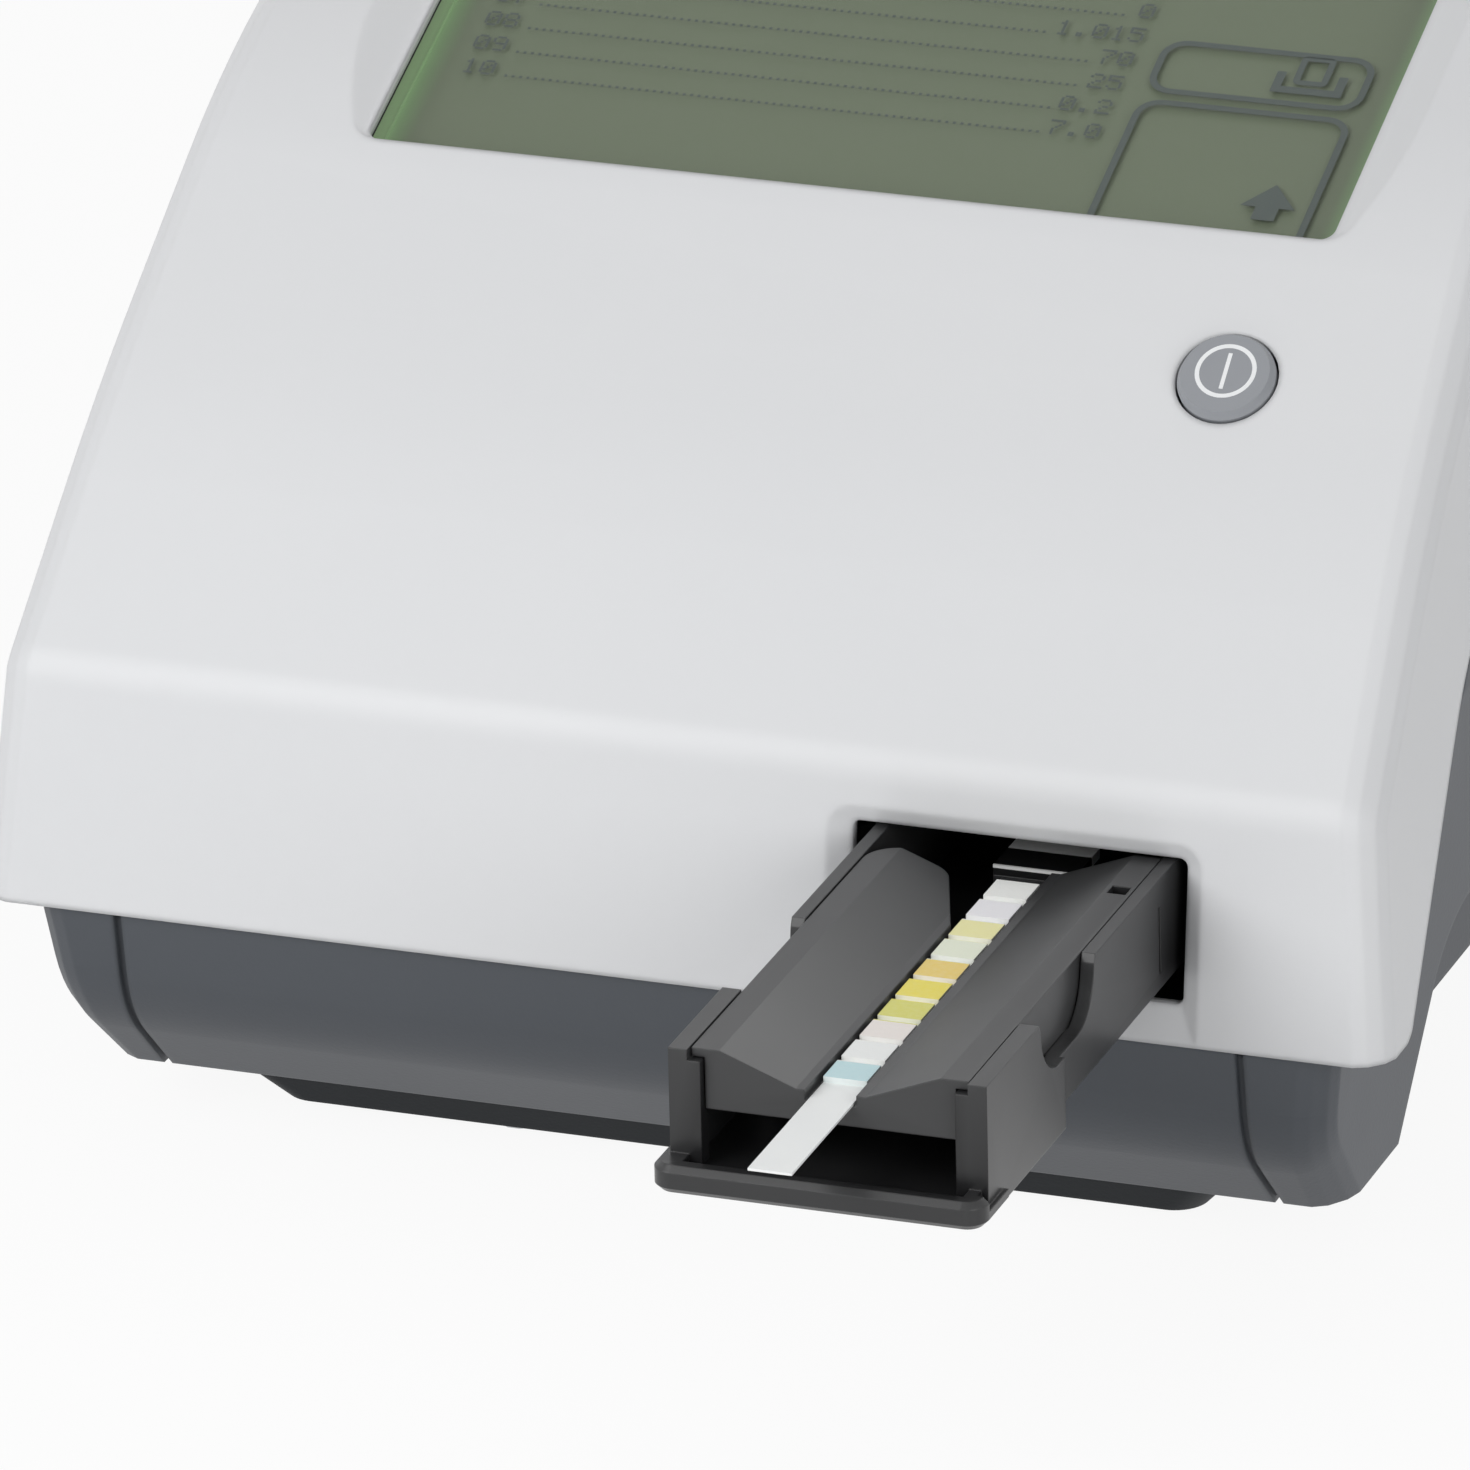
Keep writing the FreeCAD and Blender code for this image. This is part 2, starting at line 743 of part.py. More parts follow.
def make_case_screw(x, y):
    head_radius = 2.8
    head_height = 1.2
    head_side_count = 12
    length = foot_z - pan_bottom + boss_height - wall
    return join(
        sided_rod((x, y, pan_bottom - head_height), (0, 0, 1), head_radius, head_height, head_side_count),
        sided_rod((x, y, pan_bottom), (0, 0, 1), screw_radius, length, screw_side_count))


pan_block = Part.makeLoft([pan_wire(pan_low_half, pan_front_low, pan_bottom),
                           pan_wire(pan_top_half, pan_front_top, foot_z)], True, True)
write_node("base_pan", make_base_pan(pan_block))
write_node("battery_door", make_battery_door(pan_block))
rubber_size = foot_size - close_gap * 2
write_node("rubber_feet", *[block(spread(x, rubber_size), spread(y, rubber_size), (0.0, recess_top))
                            for x, y in foot_places])
write_node("case_screws", *[make_case_screw(x, y) for x, y in screw_places])

# batteries in their holder
cell_columns = [(column - half * (battery_column_count - 1)) * battery_pitch
                for column in range(battery_column_count)]
cell_starts = [holder_front + holder_end + row * (battery_length + holder_wall)
               for row in range(battery_row_count)]
holder = block((-holder_half, holder_half), (holder_front, holder_back), (foot_level, battery_z))
write_node("battery_holder", holder.cut([
    sided_rod((x, holder_front + holder_wall, battery_z), (0, 1, 0), battery_radius + close_gap,
              battery_y[1] - battery_y[0], battery_side_count) for x in cell_columns]))
write_node("battery_cells", *[
    sided_rod((x, start, battery_z), (0, 1, 0), battery_radius, battery_length, battery_side_count)
    for x in cell_columns for start in cell_starts])

# strip table: a tray with two walls, front posts, a wide lip and finger notches
table_bottom = 36.0
table_top = 51.8
table_wall = 1.6
table_back = 45.0
lip_depth = 4.0
lip_height = 3.3
lip_round = 2.5
lip_chamfer = 0.7
lip_left = 1.2
lip_right = 0.6
lip_notch = 1.4
box_length = 26.0
post_width = 3.7
post_depth = 2.4
post_drop = 1.3
floor_thickness = 2.0
rear_floor = 38.5
notch_front_inset = 18.0
notch_length = 20.0
notch_depth = 7.3
notch_round = 6.0
slit_y = -1.5
slit_width = 0.6
slit_height = 8.0
table_front = -table_travel
box_back = table_front + box_length
table_floor = rear_floor + floor_thickness
well_x = grown(rear_x, -table_wall, -table_wall)

# rack under the table
gear_module = 1.0
pressure_degrees = 20.0
pressure_angle = math.radians(pressure_degrees)
addendum_share = 0.8
dedendum_share = 1.05
tooth_backlash = 0.12
rack_pitch_z = 36.9
rack_width = 5.0
rack_groove = 1.0
rack_start = -34.0
pinion_y = 38.0
rack_root = rack_pitch_z + dedendum_share * gear_module
rack_tip = rack_pitch_z - addendum_share * gear_module
rack_x = spread(table_middle, rack_width)
rack_bar = block(rack_x, (rack_start, table_back), (rack_root, rear_floor + rack_groove))

# lift-out insert with the strip channel, and the calibration bar behind it
strip_back = strip_length - strip_reach
insert_gap = 0.2
insert_drop = 0.1
insert_height = 7.1
insert_shell = 1.4
insert_front_inset = 1.0
insert_tail = 2.75
rim_width = 3.2
valley_half = 4.1
valley_depth = 3.4
channel_half = 3.0
channel_depth = 1.3
wing_inset = 5.6
wing_round = 4.0
wing_slant = 11.7
wing_width = 4.8
clip_size = 2.2
clip_inset = 10.1
seat_width = 3.0
calibration_gap = 2.8
calibration_length = 8.0
calibration_width = 10.0
calibration_top = 47.2
calibration_thickness = 1.2
insert_x = grown(well_x, -insert_gap, -insert_gap)
insert_top = table_top - insert_drop
insert_bottom = insert_top - insert_height
insert_front = table_front + insert_front_inset
insert_back = strip_back + insert_tail
wing_end = insert_back - wing_inset
clip_y = insert_back - clip_inset
valley_low = insert_top - valley_depth
channel_z = valley_low - channel_depth
calibration_x = spread(table_middle, calibration_width)
calibration_y = (insert_back + calibration_gap, insert_back + calibration_gap + calibration_length)
calibration_low = calibration_top - calibration_thickness


def make_lip():
    x_range = grown(table_x, lip_left, lip_right)
    front = table_front - lip_depth
    back = table_front + 2 * lip_round
    corners = [(x_range[0], front, lip_round), (x_range[1], front, lip_round), (x_range[1], back, 0),
               (x_range[0], back, 0)]
    lip = prism(corners, "z", table_bottom, table_bottom + lip_height)
    front_edges = [edge for edge in lip.Edges if edge.BoundBox.ZLength < joint_tolerance
                   and edge.BoundBox.YMax < table_front + lip_round]
    lip = lip.makeChamfer(lip_chamfer, front_edges)
    notch = block((x_range[1] - lip_notch, x_range[1] + overrun), (table_front - lip_notch, back + overrun),
                  (table_bottom + half * lip_height, table_bottom + lip_height + overrun))
    return lip.cut(notch)


def make_test_table():
    front_box = block(table_x, (table_front, box_back), (table_bottom, table_top))
    rear_box = block(rear_x, (box_back - overrun, table_back), (rear_floor, table_top))
    well = block(well_x, (table_front - overrun, table_back - table_wall),
                 (table_floor, table_top + overrun))
    front_well = block(well_x, (table_front - lip_depth * half, box_back - table_wall),
                       (table_bottom + floor_thickness, table_floor + overrun))
    table = join(make_lip(), front_box, rear_box).cut([well, front_well])
    post_z = (table_bottom + floor_thickness, table_top - post_drop)
    posts = [block(x_range, (table_front, table_front + post_depth), post_z)
             for x_range in ((table_x[0], table_x[0] + post_width), (table_x[1] - post_width, table_x[1]))]
    seats = [block(x_range, (box_back, insert_back), (table_floor, insert_bottom))
             for x_range in ((well_x[0], well_x[0] + seat_width), (well_x[1] - seat_width, well_x[1]))]
    pedestal = block(calibration_x, calibration_y, (table_floor, calibration_low))
    table = table.fuse(posts + seats + [pedestal])
    notch_front = table_front + notch_front_inset
    notch_back = notch_front + notch_length
    notch = [
        (notch_front - overrun, table_top + overrun, 0),
        (notch_front, table_top - overrun, 0),
        (notch_front + overrun, table_top - notch_depth, notch_round),
        (notch_back - overrun, table_top - notch_depth, notch_round),
        (notch_back, table_top - overrun, 0),
        (notch_back + overrun, table_top + overrun, 0),
    ]
    slit = block((well_x[1] - overrun, rear_x[1] + overrun), spread(slit_y, slit_width),
                 (table_floor, table_floor + slit_height))
    table = table.cut([prism(notch, "x", table_x[0] - overrun, table_x[1] + overrun), slit, rack_bar])
    return table.removeSplitter()


def make_table_rack():
    step = math.pi * gear_module
    half_tooth = half * (half * step - half * tooth_backlash)
    tip_half = half_tooth - addendum_share * gear_module * math.tan(pressure_angle)
    root_half = half_tooth + dedendum_share * gear_module * math.tan(pressure_angle)
    first_tooth = math.ceil((rack_start - pinion_y) / step)
    last_tooth = math.floor((table_back - pinion_y) / step) - 1
    teeth = []
    for index in range(first_tooth, last_tooth + 1):
        y = pinion_y + (index + half) * step
        corners = [(y - root_half, rack_root, 0), (y - tip_half, rack_tip, 0),
                   (y + tip_half, rack_tip, 0), (y + root_half, rack_root, 0)]
        teeth.append(prism(corners, "x", *rack_x))
    return join(rack_bar, *teeth)


def make_table_insert():
    x0, x1 = insert_x
    section = [
        (x0, insert_bottom, 0),
        (x1, insert_bottom, 0),
        (x1, insert_top, 0),
        (x1 - rim_width, insert_top, 0),
        (table_middle + valley_half, valley_low, 0),
        (table_middle + channel_half, valley_low, 0),
        (table_middle + channel_half, channel_z, 0),
        (table_middle - channel_half, channel_z, 0),
        (table_middle - channel_half, valley_low, 0),
        (table_middle - valley_half, valley_low, 0),
        (x0 + rim_width, insert_top, 0),
        (x0, insert_top, 0),
    ]
    underside = [
        (x0 + insert_shell, insert_bottom - overrun, 0),
        (x1 - insert_shell, insert_bottom - overrun, 0),
        (x1 - insert_shell, insert_top - insert_shell, 0),
        (x1 - rim_width, insert_top - insert_shell, 0),
        (table_middle + valley_half, channel_z - insert_shell, 0),
        (table_middle - valley_half, channel_z - insert_shell, 0),
        (x0 + rim_width, insert_top - insert_shell, 0),
        (x0 + insert_shell, insert_top - insert_shell, 0),
    ]
    channel_left = table_middle - channel_half
    plan = [
        (x0, insert_front, 0),
        (x1, insert_front, 0),
        (x1, insert_back, 0),
        (channel_left, insert_back, 0),
        (channel_left, wing_end - wing_slant, 0),
        (x0 + wing_width + wing_round, wing_end, wing_round * half),
        (x0, wing_end, wing_round),
    ]
    insert = prism(section, "y", insert_front, insert_back)
    insert = insert.cut(prism(underside, "y", insert_front + insert_shell, insert_back - insert_shell))
    insert = insert.common(prism(plan, "z", insert_bottom, insert_top))
    post_top = table_top - post_drop + insert_gap
    post_back = table_front + post_depth + insert_gap
    clear = post_width + insert_gap
    corners = [block(x_range, (insert_front - overrun, post_back), (insert_bottom - overrun, post_top))
               for x_range in ((x0 - overrun, table_x[0] + clear), (table_x[1] - clear, x1 + overrun))]
    clip = block(spread(x1 - half * rim_width, clip_size), spread(clip_y, clip_size),
                 (insert_top - insert_shell - overrun, insert_top + overrun))
    return insert.cut(corners + [clip]).removeSplitter()


write_node("test_table", make_test_table())
write_node("table_rack", make_table_rack())
write_node("table_insert", make_table_insert())
write_node("calibration_bar", block(calibration_x, calibration_y, (calibration_low, calibration_top)))

# test strip and its reagent pads
strip_width = 5.08
strip_thickness = 0.3
pad_count = 10
pad_length = 4.7
pad_pitch = 5.93
pad_height = 0.7
pad_margin = 0.1
strip_x = spread(table_middle, strip_width)
strip_top = channel_z + strip_thickness
pad_z = (strip_top, strip_top + pad_height)
write_node("test_strip", block(strip_x, (-strip_reach, strip_back), (channel_z, strip_top)))
pad_backs = [strip_back - pad_margin - index * pad_pitch for index in range(pad_count)]
write_node("reagent_pads", *[block(strip_x, (pad_back - pad_length, pad_back), pad_z)
                             for pad_back in pad_backs])


# gears: the flanks follow the involute in a few straight steps
def involute_angle(radius, base):
    return math.sqrt(max((radius / base) ** 2 - 1, 0)) - math.acos(min(base / radius, 1))


def spur_gear(tooth_count, module, x_range, centre, phase, step_count):
    pitch_radius = half * tooth_count * module
    base = pitch_radius * math.cos(pressure_angle)
    tip = pitch_radius + addendum_share * module
    root = pitch_radius - dedendum_share * module
    step = 2 * math.pi / tooth_count
    half_tooth = quarter * (step - tooth_backlash * module / pitch_radius)
    at_pitch = involute_angle(pitch_radius, base)
    radii = [root + (tip - root) * share / step_count for share in range(step_count + 1)]
    flanks = [(radius, half_tooth + at_pitch - involute_angle(max(radius, base), base)) for radius in radii]

    def point(radius, angle):
        return Vector(x_range[0], centre[0] + radius * math.cos(angle), centre[1] + radius * math.sin(angle))

    corners = []
    for index in range(tooth_count):
        axis = phase + index * step
        corners += [point(radius, axis - flank) for radius, flank in flanks]
        corners += [point(radius, axis + flank) for radius, flank in reversed(flanks)]
    wire = Part.makePolygon(corners + corners[:1])
    return Part.Face(wire).extrude(Vector(x_range[1] - x_range[0], 0, 0))


# phase of a gear that meshes with another one along the line between their centres
def meshed_phase(phase, tooth_count, line_angle, other_count):
    step = 2 * math.pi / tooth_count
    other_step = 2 * math.pi / other_count
    ahead = (line_angle - phase) / step
    return line_angle + math.pi + half * other_step + (ahead - math.floor(ahead)) * other_step


# drive pinion, its motor and the guide that the table runs in
pinion_tooth_count = 14
pinion_step_count = 3
shaft_radius = 1.5
pinion_side_gap = 0.3
motor_length = 18.0
motor_size = 24.0
guide_front = 29.0
guide_holder_gap = 31.0
guide_top = 54.0
guide_plate = 2.0
ledge_width = 3.0
ledge_height = 2.0
guide_y = (guide_front, holder_front - guide_holder_gap)
pinion_z = rack_pitch_z - half * pinion_tooth_count * gear_module
pinion_x = grown(rack_x, -pinion_side_gap, -pinion_side_gap)
motor_x = (guide_left[0] - motor_length, guide_left[0])
shaft_start = motor_x[0] + wall
ledge_z = (rear_floor - running_gap - ledge_height, rear_floor - running_gap)


def make_drive_pinion():
    gear = spur_gear(pinion_tooth_count, gear_module, pinion_x, (pinion_y, pinion_z), math.pi * half,
                     pinion_step_count)
    shaft_length = pinion_x[1] - shaft_start
    return join(gear, rod((shaft_start, pinion_y, pinion_z), (1, 0, 0), shaft_radius, shaft_length))


def make_table_guide():
    base = block((guide_left[0], guide_right[1]), guide_y, (foot_level, foot_level + guide_plate))
    webs = [block(web, guide_y, (foot_level, guide_top)) for web in (guide_left, guide_right)]
    ledges = [block(x_range, guide_y, ledge_z) for x_range in (
        (guide_left[1], guide_left[1] + ledge_width), (guide_right[0] - ledge_width, guide_right[0]))]
    bore = sided_bore((guide_left[0] - overrun, pinion_y, pinion_z), (1, 0, 0), shaft_radius + running_gap,
                      guide_wall + 2 * overrun)
    return join(base, *webs, *ledges).cut(bore)


write_node("drive_pinion", make_drive_pinion())
motor = block(motor_x, spread(pinion_y, motor_size), spread(pinion_z, motor_size))
write_node("table_motor", motor.cut(sided_bore((shaft_start - running_gap, pinion_y, pinion_z), (1, 0, 0),
                                               shaft_radius + running_gap, motor_length)))
write_node("table_guide", make_table_guide())

# optics above the table: housing, lens, board with sensor and lamps
optics_y = (30.0, 58.0)
optics_room = 6.5
optics_wall = 2.0
optics_floor = 2.5
lens_radius = 5.0
sensor_size = 8.0
sensor_height = 3.0
lamp_size = 3.0
lamp_height = 1.5
lamp_spacing = 9.0
optics_x = (guide_left[0], guide_right[1])
optics_top = panel_low_z - wall - optics_room
optics_middle = half * (optics_y[0] + optics_y[1])
optics = block(optics_x, optics_y, (guide_top, optics_top))
optics_hollow = block(grown(optics_x, -optics_wall, -optics_wall),
                      grown(optics_y, -optics_wall, -optics_wall),
                      (guide_top + optics_floor, optics_top + overrun))
lens_bore = sided_bore((table_middle, optics_middle, guide_top - overrun), (0, 0, 1),
                       lens_radius + running_gap, optics_floor + 2 * overrun)
write_node("optics_housing", optics.cut([optics_hollow, lens_bore]))
write_node("optics_lens", rod((table_middle, optics_middle, guide_top), (0, 0, 1), lens_radius,
                              optics_floor))
write_node("optics_board", block(optics_x, optics_y, (optics_top, optics_top + board_thickness)))
write_node("light_sensor", block(spread(table_middle, sensor_size), spread(optics_middle, sensor_size),
                                 (optics_top - sensor_height, optics_top)))
write_node("optics_lamps", *[
    block(spread(table_middle + side * lamp_spacing, lamp_size), spread(optics_middle, lamp_size),
          (optics_top - lamp_height, optics_top)) for side in (-1, 1)])

# main board on standoffs, with its larger parts and the display ribbon
main_side_gap = 3.5
main_motor_gap = 2.45
main_front = 30.0
main_overhang = 2.0
main_z = 26.0
standoff_radius = 3.0
standoff_side_count = 6
standoff_inset = 5.0
chip_size = 14.0
chip_height = 2.2
chip_column_shares = (0.26, 0.68)
chip_row_shares = (0.22, 0.83)
beeper_size = 10.0
beeper_height = 4.5
beeper_row_share = 0.52
ribbon_width = 20.0
ribbon_thickness = 0.5
ribbon_inset = 32.0
port_board_reach = 36.0
port_board_y = (body_depth - port_board_reach, rear_wall_y - overrun)
port_body_height = 12.0
main_x = (wall - grip_inner_x + main_side_gap, motor_x[0] - main_motor_gap)
main_y = (main_front, holder_front + main_overhang)
main_top = main_z + board_thickness
port_standoff_x = (-holder_half - standoff_radius - fit_gap, grip_inner_x - 2 * standoff_inset)
port_board_x = (port_standoff_x[0] - standoff_inset, grip_inner_x)
port_board_z = port_z - half * port_body_height - board_thickness
chip_columns = [main_x[0] + share * (main_x[1] - main_x[0]) for share in chip_column_shares]
chip_rows = [main_y[0] + share * (main_y[1] - main_y[0]) for share in chip_row_shares]
beeper_y = main_y[0] + beeper_row_share * (main_y[1] - main_y[0])
ribbon_y = display_y + half * (valley_y - display_y - display_top_gap)


def standoff(x, y, top):
    return sided_rod((x, y, foot_level), (0, 0, 1), standoff_radius, top - foot_level, standoff_side_count)


def make_standoffs():
    places = [(x, y, main_z) for x in grown(main_x, -standoff_inset, -standoff_inset)
              for y in grown(main_y, -standoff_inset, -standoff_inset)]
    places += [(x, port_board_y[0] + 2 * standoff_inset, port_board_z) for x in port_standoff_x]
    return [standoff(*place) for place in places]


write_node("board_standoffs", *make_standoffs())
write_node("main_board", block(main_x, main_y, (main_z, main_top)))
chip_z = (main_top, main_top + chip_height)
write_node("board_chips", *[block(spread(x, chip_size), spread(y, chip_size), chip_z)
                            for x in chip_columns for y in chip_rows])
write_node("beeper", block(spread(chip_columns[0], beeper_size), spread(beeper_y, beeper_size),
                           (main_top, main_top + beeper_height)))
ribbon_top = (display_z + (ribbon_y - display_y) * math.tan(display_slope)
              + display_board_low / math.cos(display_slope) - fit_gap)
write_node("display_ribbon", block(spread(main_x[0] + ribbon_inset, ribbon_width),
                                   (ribbon_y, ribbon_y + ribbon_thickness), (main_top, ribbon_top)))
write_node("port_board", block(port_board_x, port_board_y, (port_board_z, port_board_z + board_thickness)))

# rear ports: power jack, serial port, card slot and its card
jack_width = 11.0
jack_depth = 11.0
jack_bore_radius = 2.75
jack_pin_radius = 1.0
port_recess = 0.5
serial_body_width = 31.0
serial_pin_counts = (5, 4)
serial_row_pitch = 2.84
serial_pin_pitch = 2.77
serial_pin_size = 0.9
serial_shell = 1.0
serial_slant = 1.5
serial_depth = 5.5
card_body_width = 30.0
card_depth = 30.0
card_gap = 0.2
port_body_z = spread(port_z, port_body_height)
jack_y = (rear_wall_y - jack_depth, rear_wall_y)


def make_power_jack():
    back = rear_wall_y - jack_depth
    body = block(spread(jack_x, jack_width), jack_y, port_body_z)
    barrel = rod((jack_x, rear_wall_y, port_z), (0, 1, 0), jack_radius - close_gap, wall - port_recess)
    bore = rod((jack_x, back + wall, port_z), (0, 1, 0), jack_bore_radius, jack_depth + wall)
    pin = sided_rod((jack_x, back + overrun, port_z), (0, 1, 0), jack_pin_radius, jack_depth - overrun,
                    bore_side_count)
    return join(body.fuse(barrel).cut(bore), pin)


def serial_outline(shrink):
    x = half * serial_width - close_gap - shrink
    z = half * serial_height - close_gap - shrink
    return [(serial_x - x + serial_slant, port_z - z, 0), (serial_x + x - serial_slant, port_z - z, 0),
            (serial_x + x, port_z + z, 0), (serial_x - x, port_z + z, 0)]


def make_serial_port():
    body = block(spread(serial_x, serial_body_width), jack_y, port_body_z)
    shell = prism(serial_outline(0.0), "y", rear_wall_y - overrun, body_depth - port_recess)
    mouth = prism(serial_outline(serial_shell), "y", body_depth - serial_depth, body_depth)
    pins = []
    for row, count in enumerate(serial_pin_counts):
        for index in range(count):
            x = serial_x + (index - half * (count - 1)) * serial_pin_pitch
            z = port_z + (half - row) * serial_row_pitch
            pins.append(block(spread(x, serial_pin_size), (body_depth - serial_depth, body_depth - overrun),
                              spread(z, serial_pin_size)))
    return body.fuse(shell).cut(mouth).fuse(pins).removeSplitter()


write_node("power_jack", make_power_jack())
write_node("serial_port", make_serial_port())
card_pocket_y = rear_wall_y - card_depth + wall
card_body = block(spread(card_x, card_body_width), (rear_wall_y - card_depth, rear_wall_y), port_body_z)
card_pocket = block(spread(card_x, card_width), (card_pocket_y, rear_wall_y + overrun),
                    spread(port_z, card_thickness))
write_node("card_slot", card_body.cut(card_pocket))
write_node("memory_card", block(spread(card_x, card_width - card_gap * 2),
                                (card_pocket_y + card_gap, body_depth - port_recess),
                                spread(port_z, card_thickness - card_gap * 2)))

# printer mechanism: frame, platen, gear train, head, tear bar and motor
platen_inset = 5.5
platen_drop = 15.0
platen_radius = 4.0
platen_half = 29.0
platen_shaft_radius = 1.5
frame_inner = 33.0
frame_plate = 1.6
frame_front = 8.5
frame_back = 7.5
frame_below = 27.5
frame_above = 7.0
frame_nose = 1.0
frame_nose_back = 0.5
printer_module = 0.5
platen_tooth_count = 24
idler_tooth_count = 20
printer_pinion_tooth_count = 12
printer_step_count = 1
idler_degrees = -70.0
idler_angle = math.radians(idler_degrees)
printer_pinion_degrees = -110.0
printer_pinion_angle = math.radians(printer_pinion_degrees)
gear_gap = 0.4
gear_width = 3.0
idler_axle_radius = 1.2
printer_shaft_radius = 1.0
printer_motor_size = 14.0
printer_motor_length = 18.0
head_gap = 0.1
head_thickness = 1.8
head_height = 8.4
tear_gap = 0.2
tear_thickness = 0.6
tear_below = 1.0
tear_above = 7.6
tear_pitch = 2.0
platen_y = lid_front_y + platen_inset
platen_z = body_height - platen_drop
platen_centre = (platen_y, platen_z)
frame_y = (platen_y - frame_front, platen_y + frame_back)
frame_low = platen_z - frame_below
frame_outer = frame_inner + frame_plate
gear_x = (frame_outer + gear_gap, frame_outer + gear_gap + gear_width)


def geared_centre(centre, tooth_count, other_count, angle):
    reach = half * (tooth_count + other_count) * printer_module
    return (centre[0] + reach * math.cos(angle), centre[1] + reach * math.sin(angle))


idler_centre = geared_centre(platen_centre, platen_tooth_count, idler_tooth_count, idler_angle)
pinion_centre = geared_centre(idler_centre, idler_tooth_count, printer_pinion_tooth_count,
                              printer_pinion_angle)


def make_printer_frame():
    high = platen_z + frame_above
    outline = [(frame_y[0], frame_low, 0), (frame_y[1], frame_low, 0), (frame_y[1], high, 0),
               (platen_y + frame_nose_back, high, 0), (frame_y[0], platen_z + frame_nose, 0)]
    frame = block((-frame_outer, frame_outer), frame_y, (frame_low, frame_low + frame_plate))
    frame = frame.fuse([prism(outline, "x", low, low + frame_plate) for low in (frame_inner, -frame_outer)])
    frame = frame.cut([
        rod((-frame_outer - overrun, *platen_centre), (1, 0, 0), platen_shaft_radius + running_gap,
            2 * (frame_outer + overrun)),
        sided_bore((frame_inner - overrun, *pinion_centre), (1, 0, 0), printer_shaft_radius + running_gap,
                   frame_plate + 2 * overrun),
    ])
    axle = rod((frame_inner, *idler_centre), (1, 0, 0), idler_axle_radius, gear_x[1] - frame_inner)
    return join(frame, axle)


def bored_gear(tooth_count, centre, phase, bore_radius):
    gear = spur_gear(tooth_count, printer_module, gear_x, centre, phase, printer_step_count)
    return gear.cut(sided_bore((gear_x[0] - overrun, *centre), (1, 0, 0), bore_radius,
                               gear_width + 2 * overrun))


def make_tear_bar():
    y_range = (frame_y[0] + tear_gap, frame_y[0] + tear_gap + tear_thickness)
    top = platen_z + tear_above
    bar = block((-frame_inner, frame_inner), y_range, (platen_z - tear_below, top))
    notches = []
    for index in range(int(2 * frame_inner / tear_pitch)):
        x = -frame_inner + (index + half) * tear_pitch
        corners = [(x - half * tear_pitch, top, 0), (x, top - half * tear_pitch, 0),
                   (x + half * tear_pitch, top, 0)]
        notches.append(prism(corners, "y", y_range[0] - overrun, y_range[1] + overrun))
    return bar.cut(notches)


write_node("printer_frame", make_printer_frame())
roller = rod((-platen_half, *platen_centre), (1, 0, 0), platen_radius, platen_half * 2)
write_node("platen_roller", roller.cut(sided_bore((-platen_half, *platen_centre), (1, 0, 0),
                                                  platen_shaft_radius, platen_half * 2)))
write_node("platen_shaft", rod((-frame_outer - overrun, *platen_centre), (1, 0, 0), platen_shaft_radius,
                               frame_outer + overrun + gear_x[1]))
idler_phase = meshed_phase(idler_angle, platen_tooth_count, idler_angle, idler_tooth_count)
pinion_phase = meshed_phase(idler_phase, idler_tooth_count, printer_pinion_angle, printer_pinion_tooth_count)
write_node("platen_gear", bored_gear(platen_tooth_count, platen_centre, idler_angle, platen_shaft_radius))
write_node("idler_gear", bored_gear(idler_tooth_count, idler_centre, idler_phase,
                                    idler_axle_radius + running_gap))
printer_motor_x = (frame_inner - printer_motor_length, frame_inner)
printer_shaft_start = printer_motor_x[0] + wall
printer_gear = spur_gear(printer_pinion_tooth_count, printer_module, gear_x, pinion_centre, pinion_phase,
                         printer_step_count)
printer_shaft = rod((printer_shaft_start, *pinion_centre), (1, 0, 0), printer_shaft_radius,
                    gear_x[1] - printer_shaft_start)
write_node("printer_pinion", join(printer_gear, printer_shaft))
printer_motor = block(printer_motor_x, spread(pinion_centre[0], printer_motor_size),
                      spread(pinion_centre[1], printer_motor_size))
shaft_bore = sided_bore((printer_shaft_start - running_gap, *pinion_centre), (1, 0, 0),
                        printer_shaft_radius + running_gap, printer_motor_length)
write_node("printer_motor", printer_motor.cut(shaft_bore))
head_back = platen_y - platen_radius - head_gap
write_node("thermal_head", block((-frame_inner, frame_inner), (head_back - head_thickness, head_back),
                                 spread(platen_z, head_height)))
write_node("tear_bar", make_tear_bar())

# paper bucket, roll and the stand that carries printer and bucket
bucket_inset = 20.5
bucket_drop = 36.0
bucket_radius = 24.0
bucket_half = 30.5
bucket_rise = 10.0
bucket_wall = 1.6
roll_radius = 21.0
roll_half = 28.5
core_radius = 6.0
core_wall = 1.0
core_side_count = 16
stand_inner = 44.0
stand_wall = 2.5
stand_front = 7.0
stand_back = 7.0
shelf_front = 2.0
shelf_back = 2.0
window_inset = 12.0
bucket_y = lid_back_y - bucket_inset
bucket_z = body_height - bucket_drop
bucket_top = bucket_z + bucket_rise
stand_y = (lid_front_y - stand_front, lid_back_y + stand_back)
stand_outer = stand_inner + stand_wall
roll_z = bucket_z - bucket_radius + roll_radius + fit_gap


def bucket_trough(grow):
    x_range = (-bucket_half - grow, bucket_half + grow)
    radius = bucket_radius + grow
    return block(x_range, (bucket_y - radius, bucket_y + radius), (bucket_z, bucket_top + overrun)).fuse(
        rod((x_range[0], bucket_y, bucket_z), (1, 0, 0), radius, x_range[1] - x_range[0]))


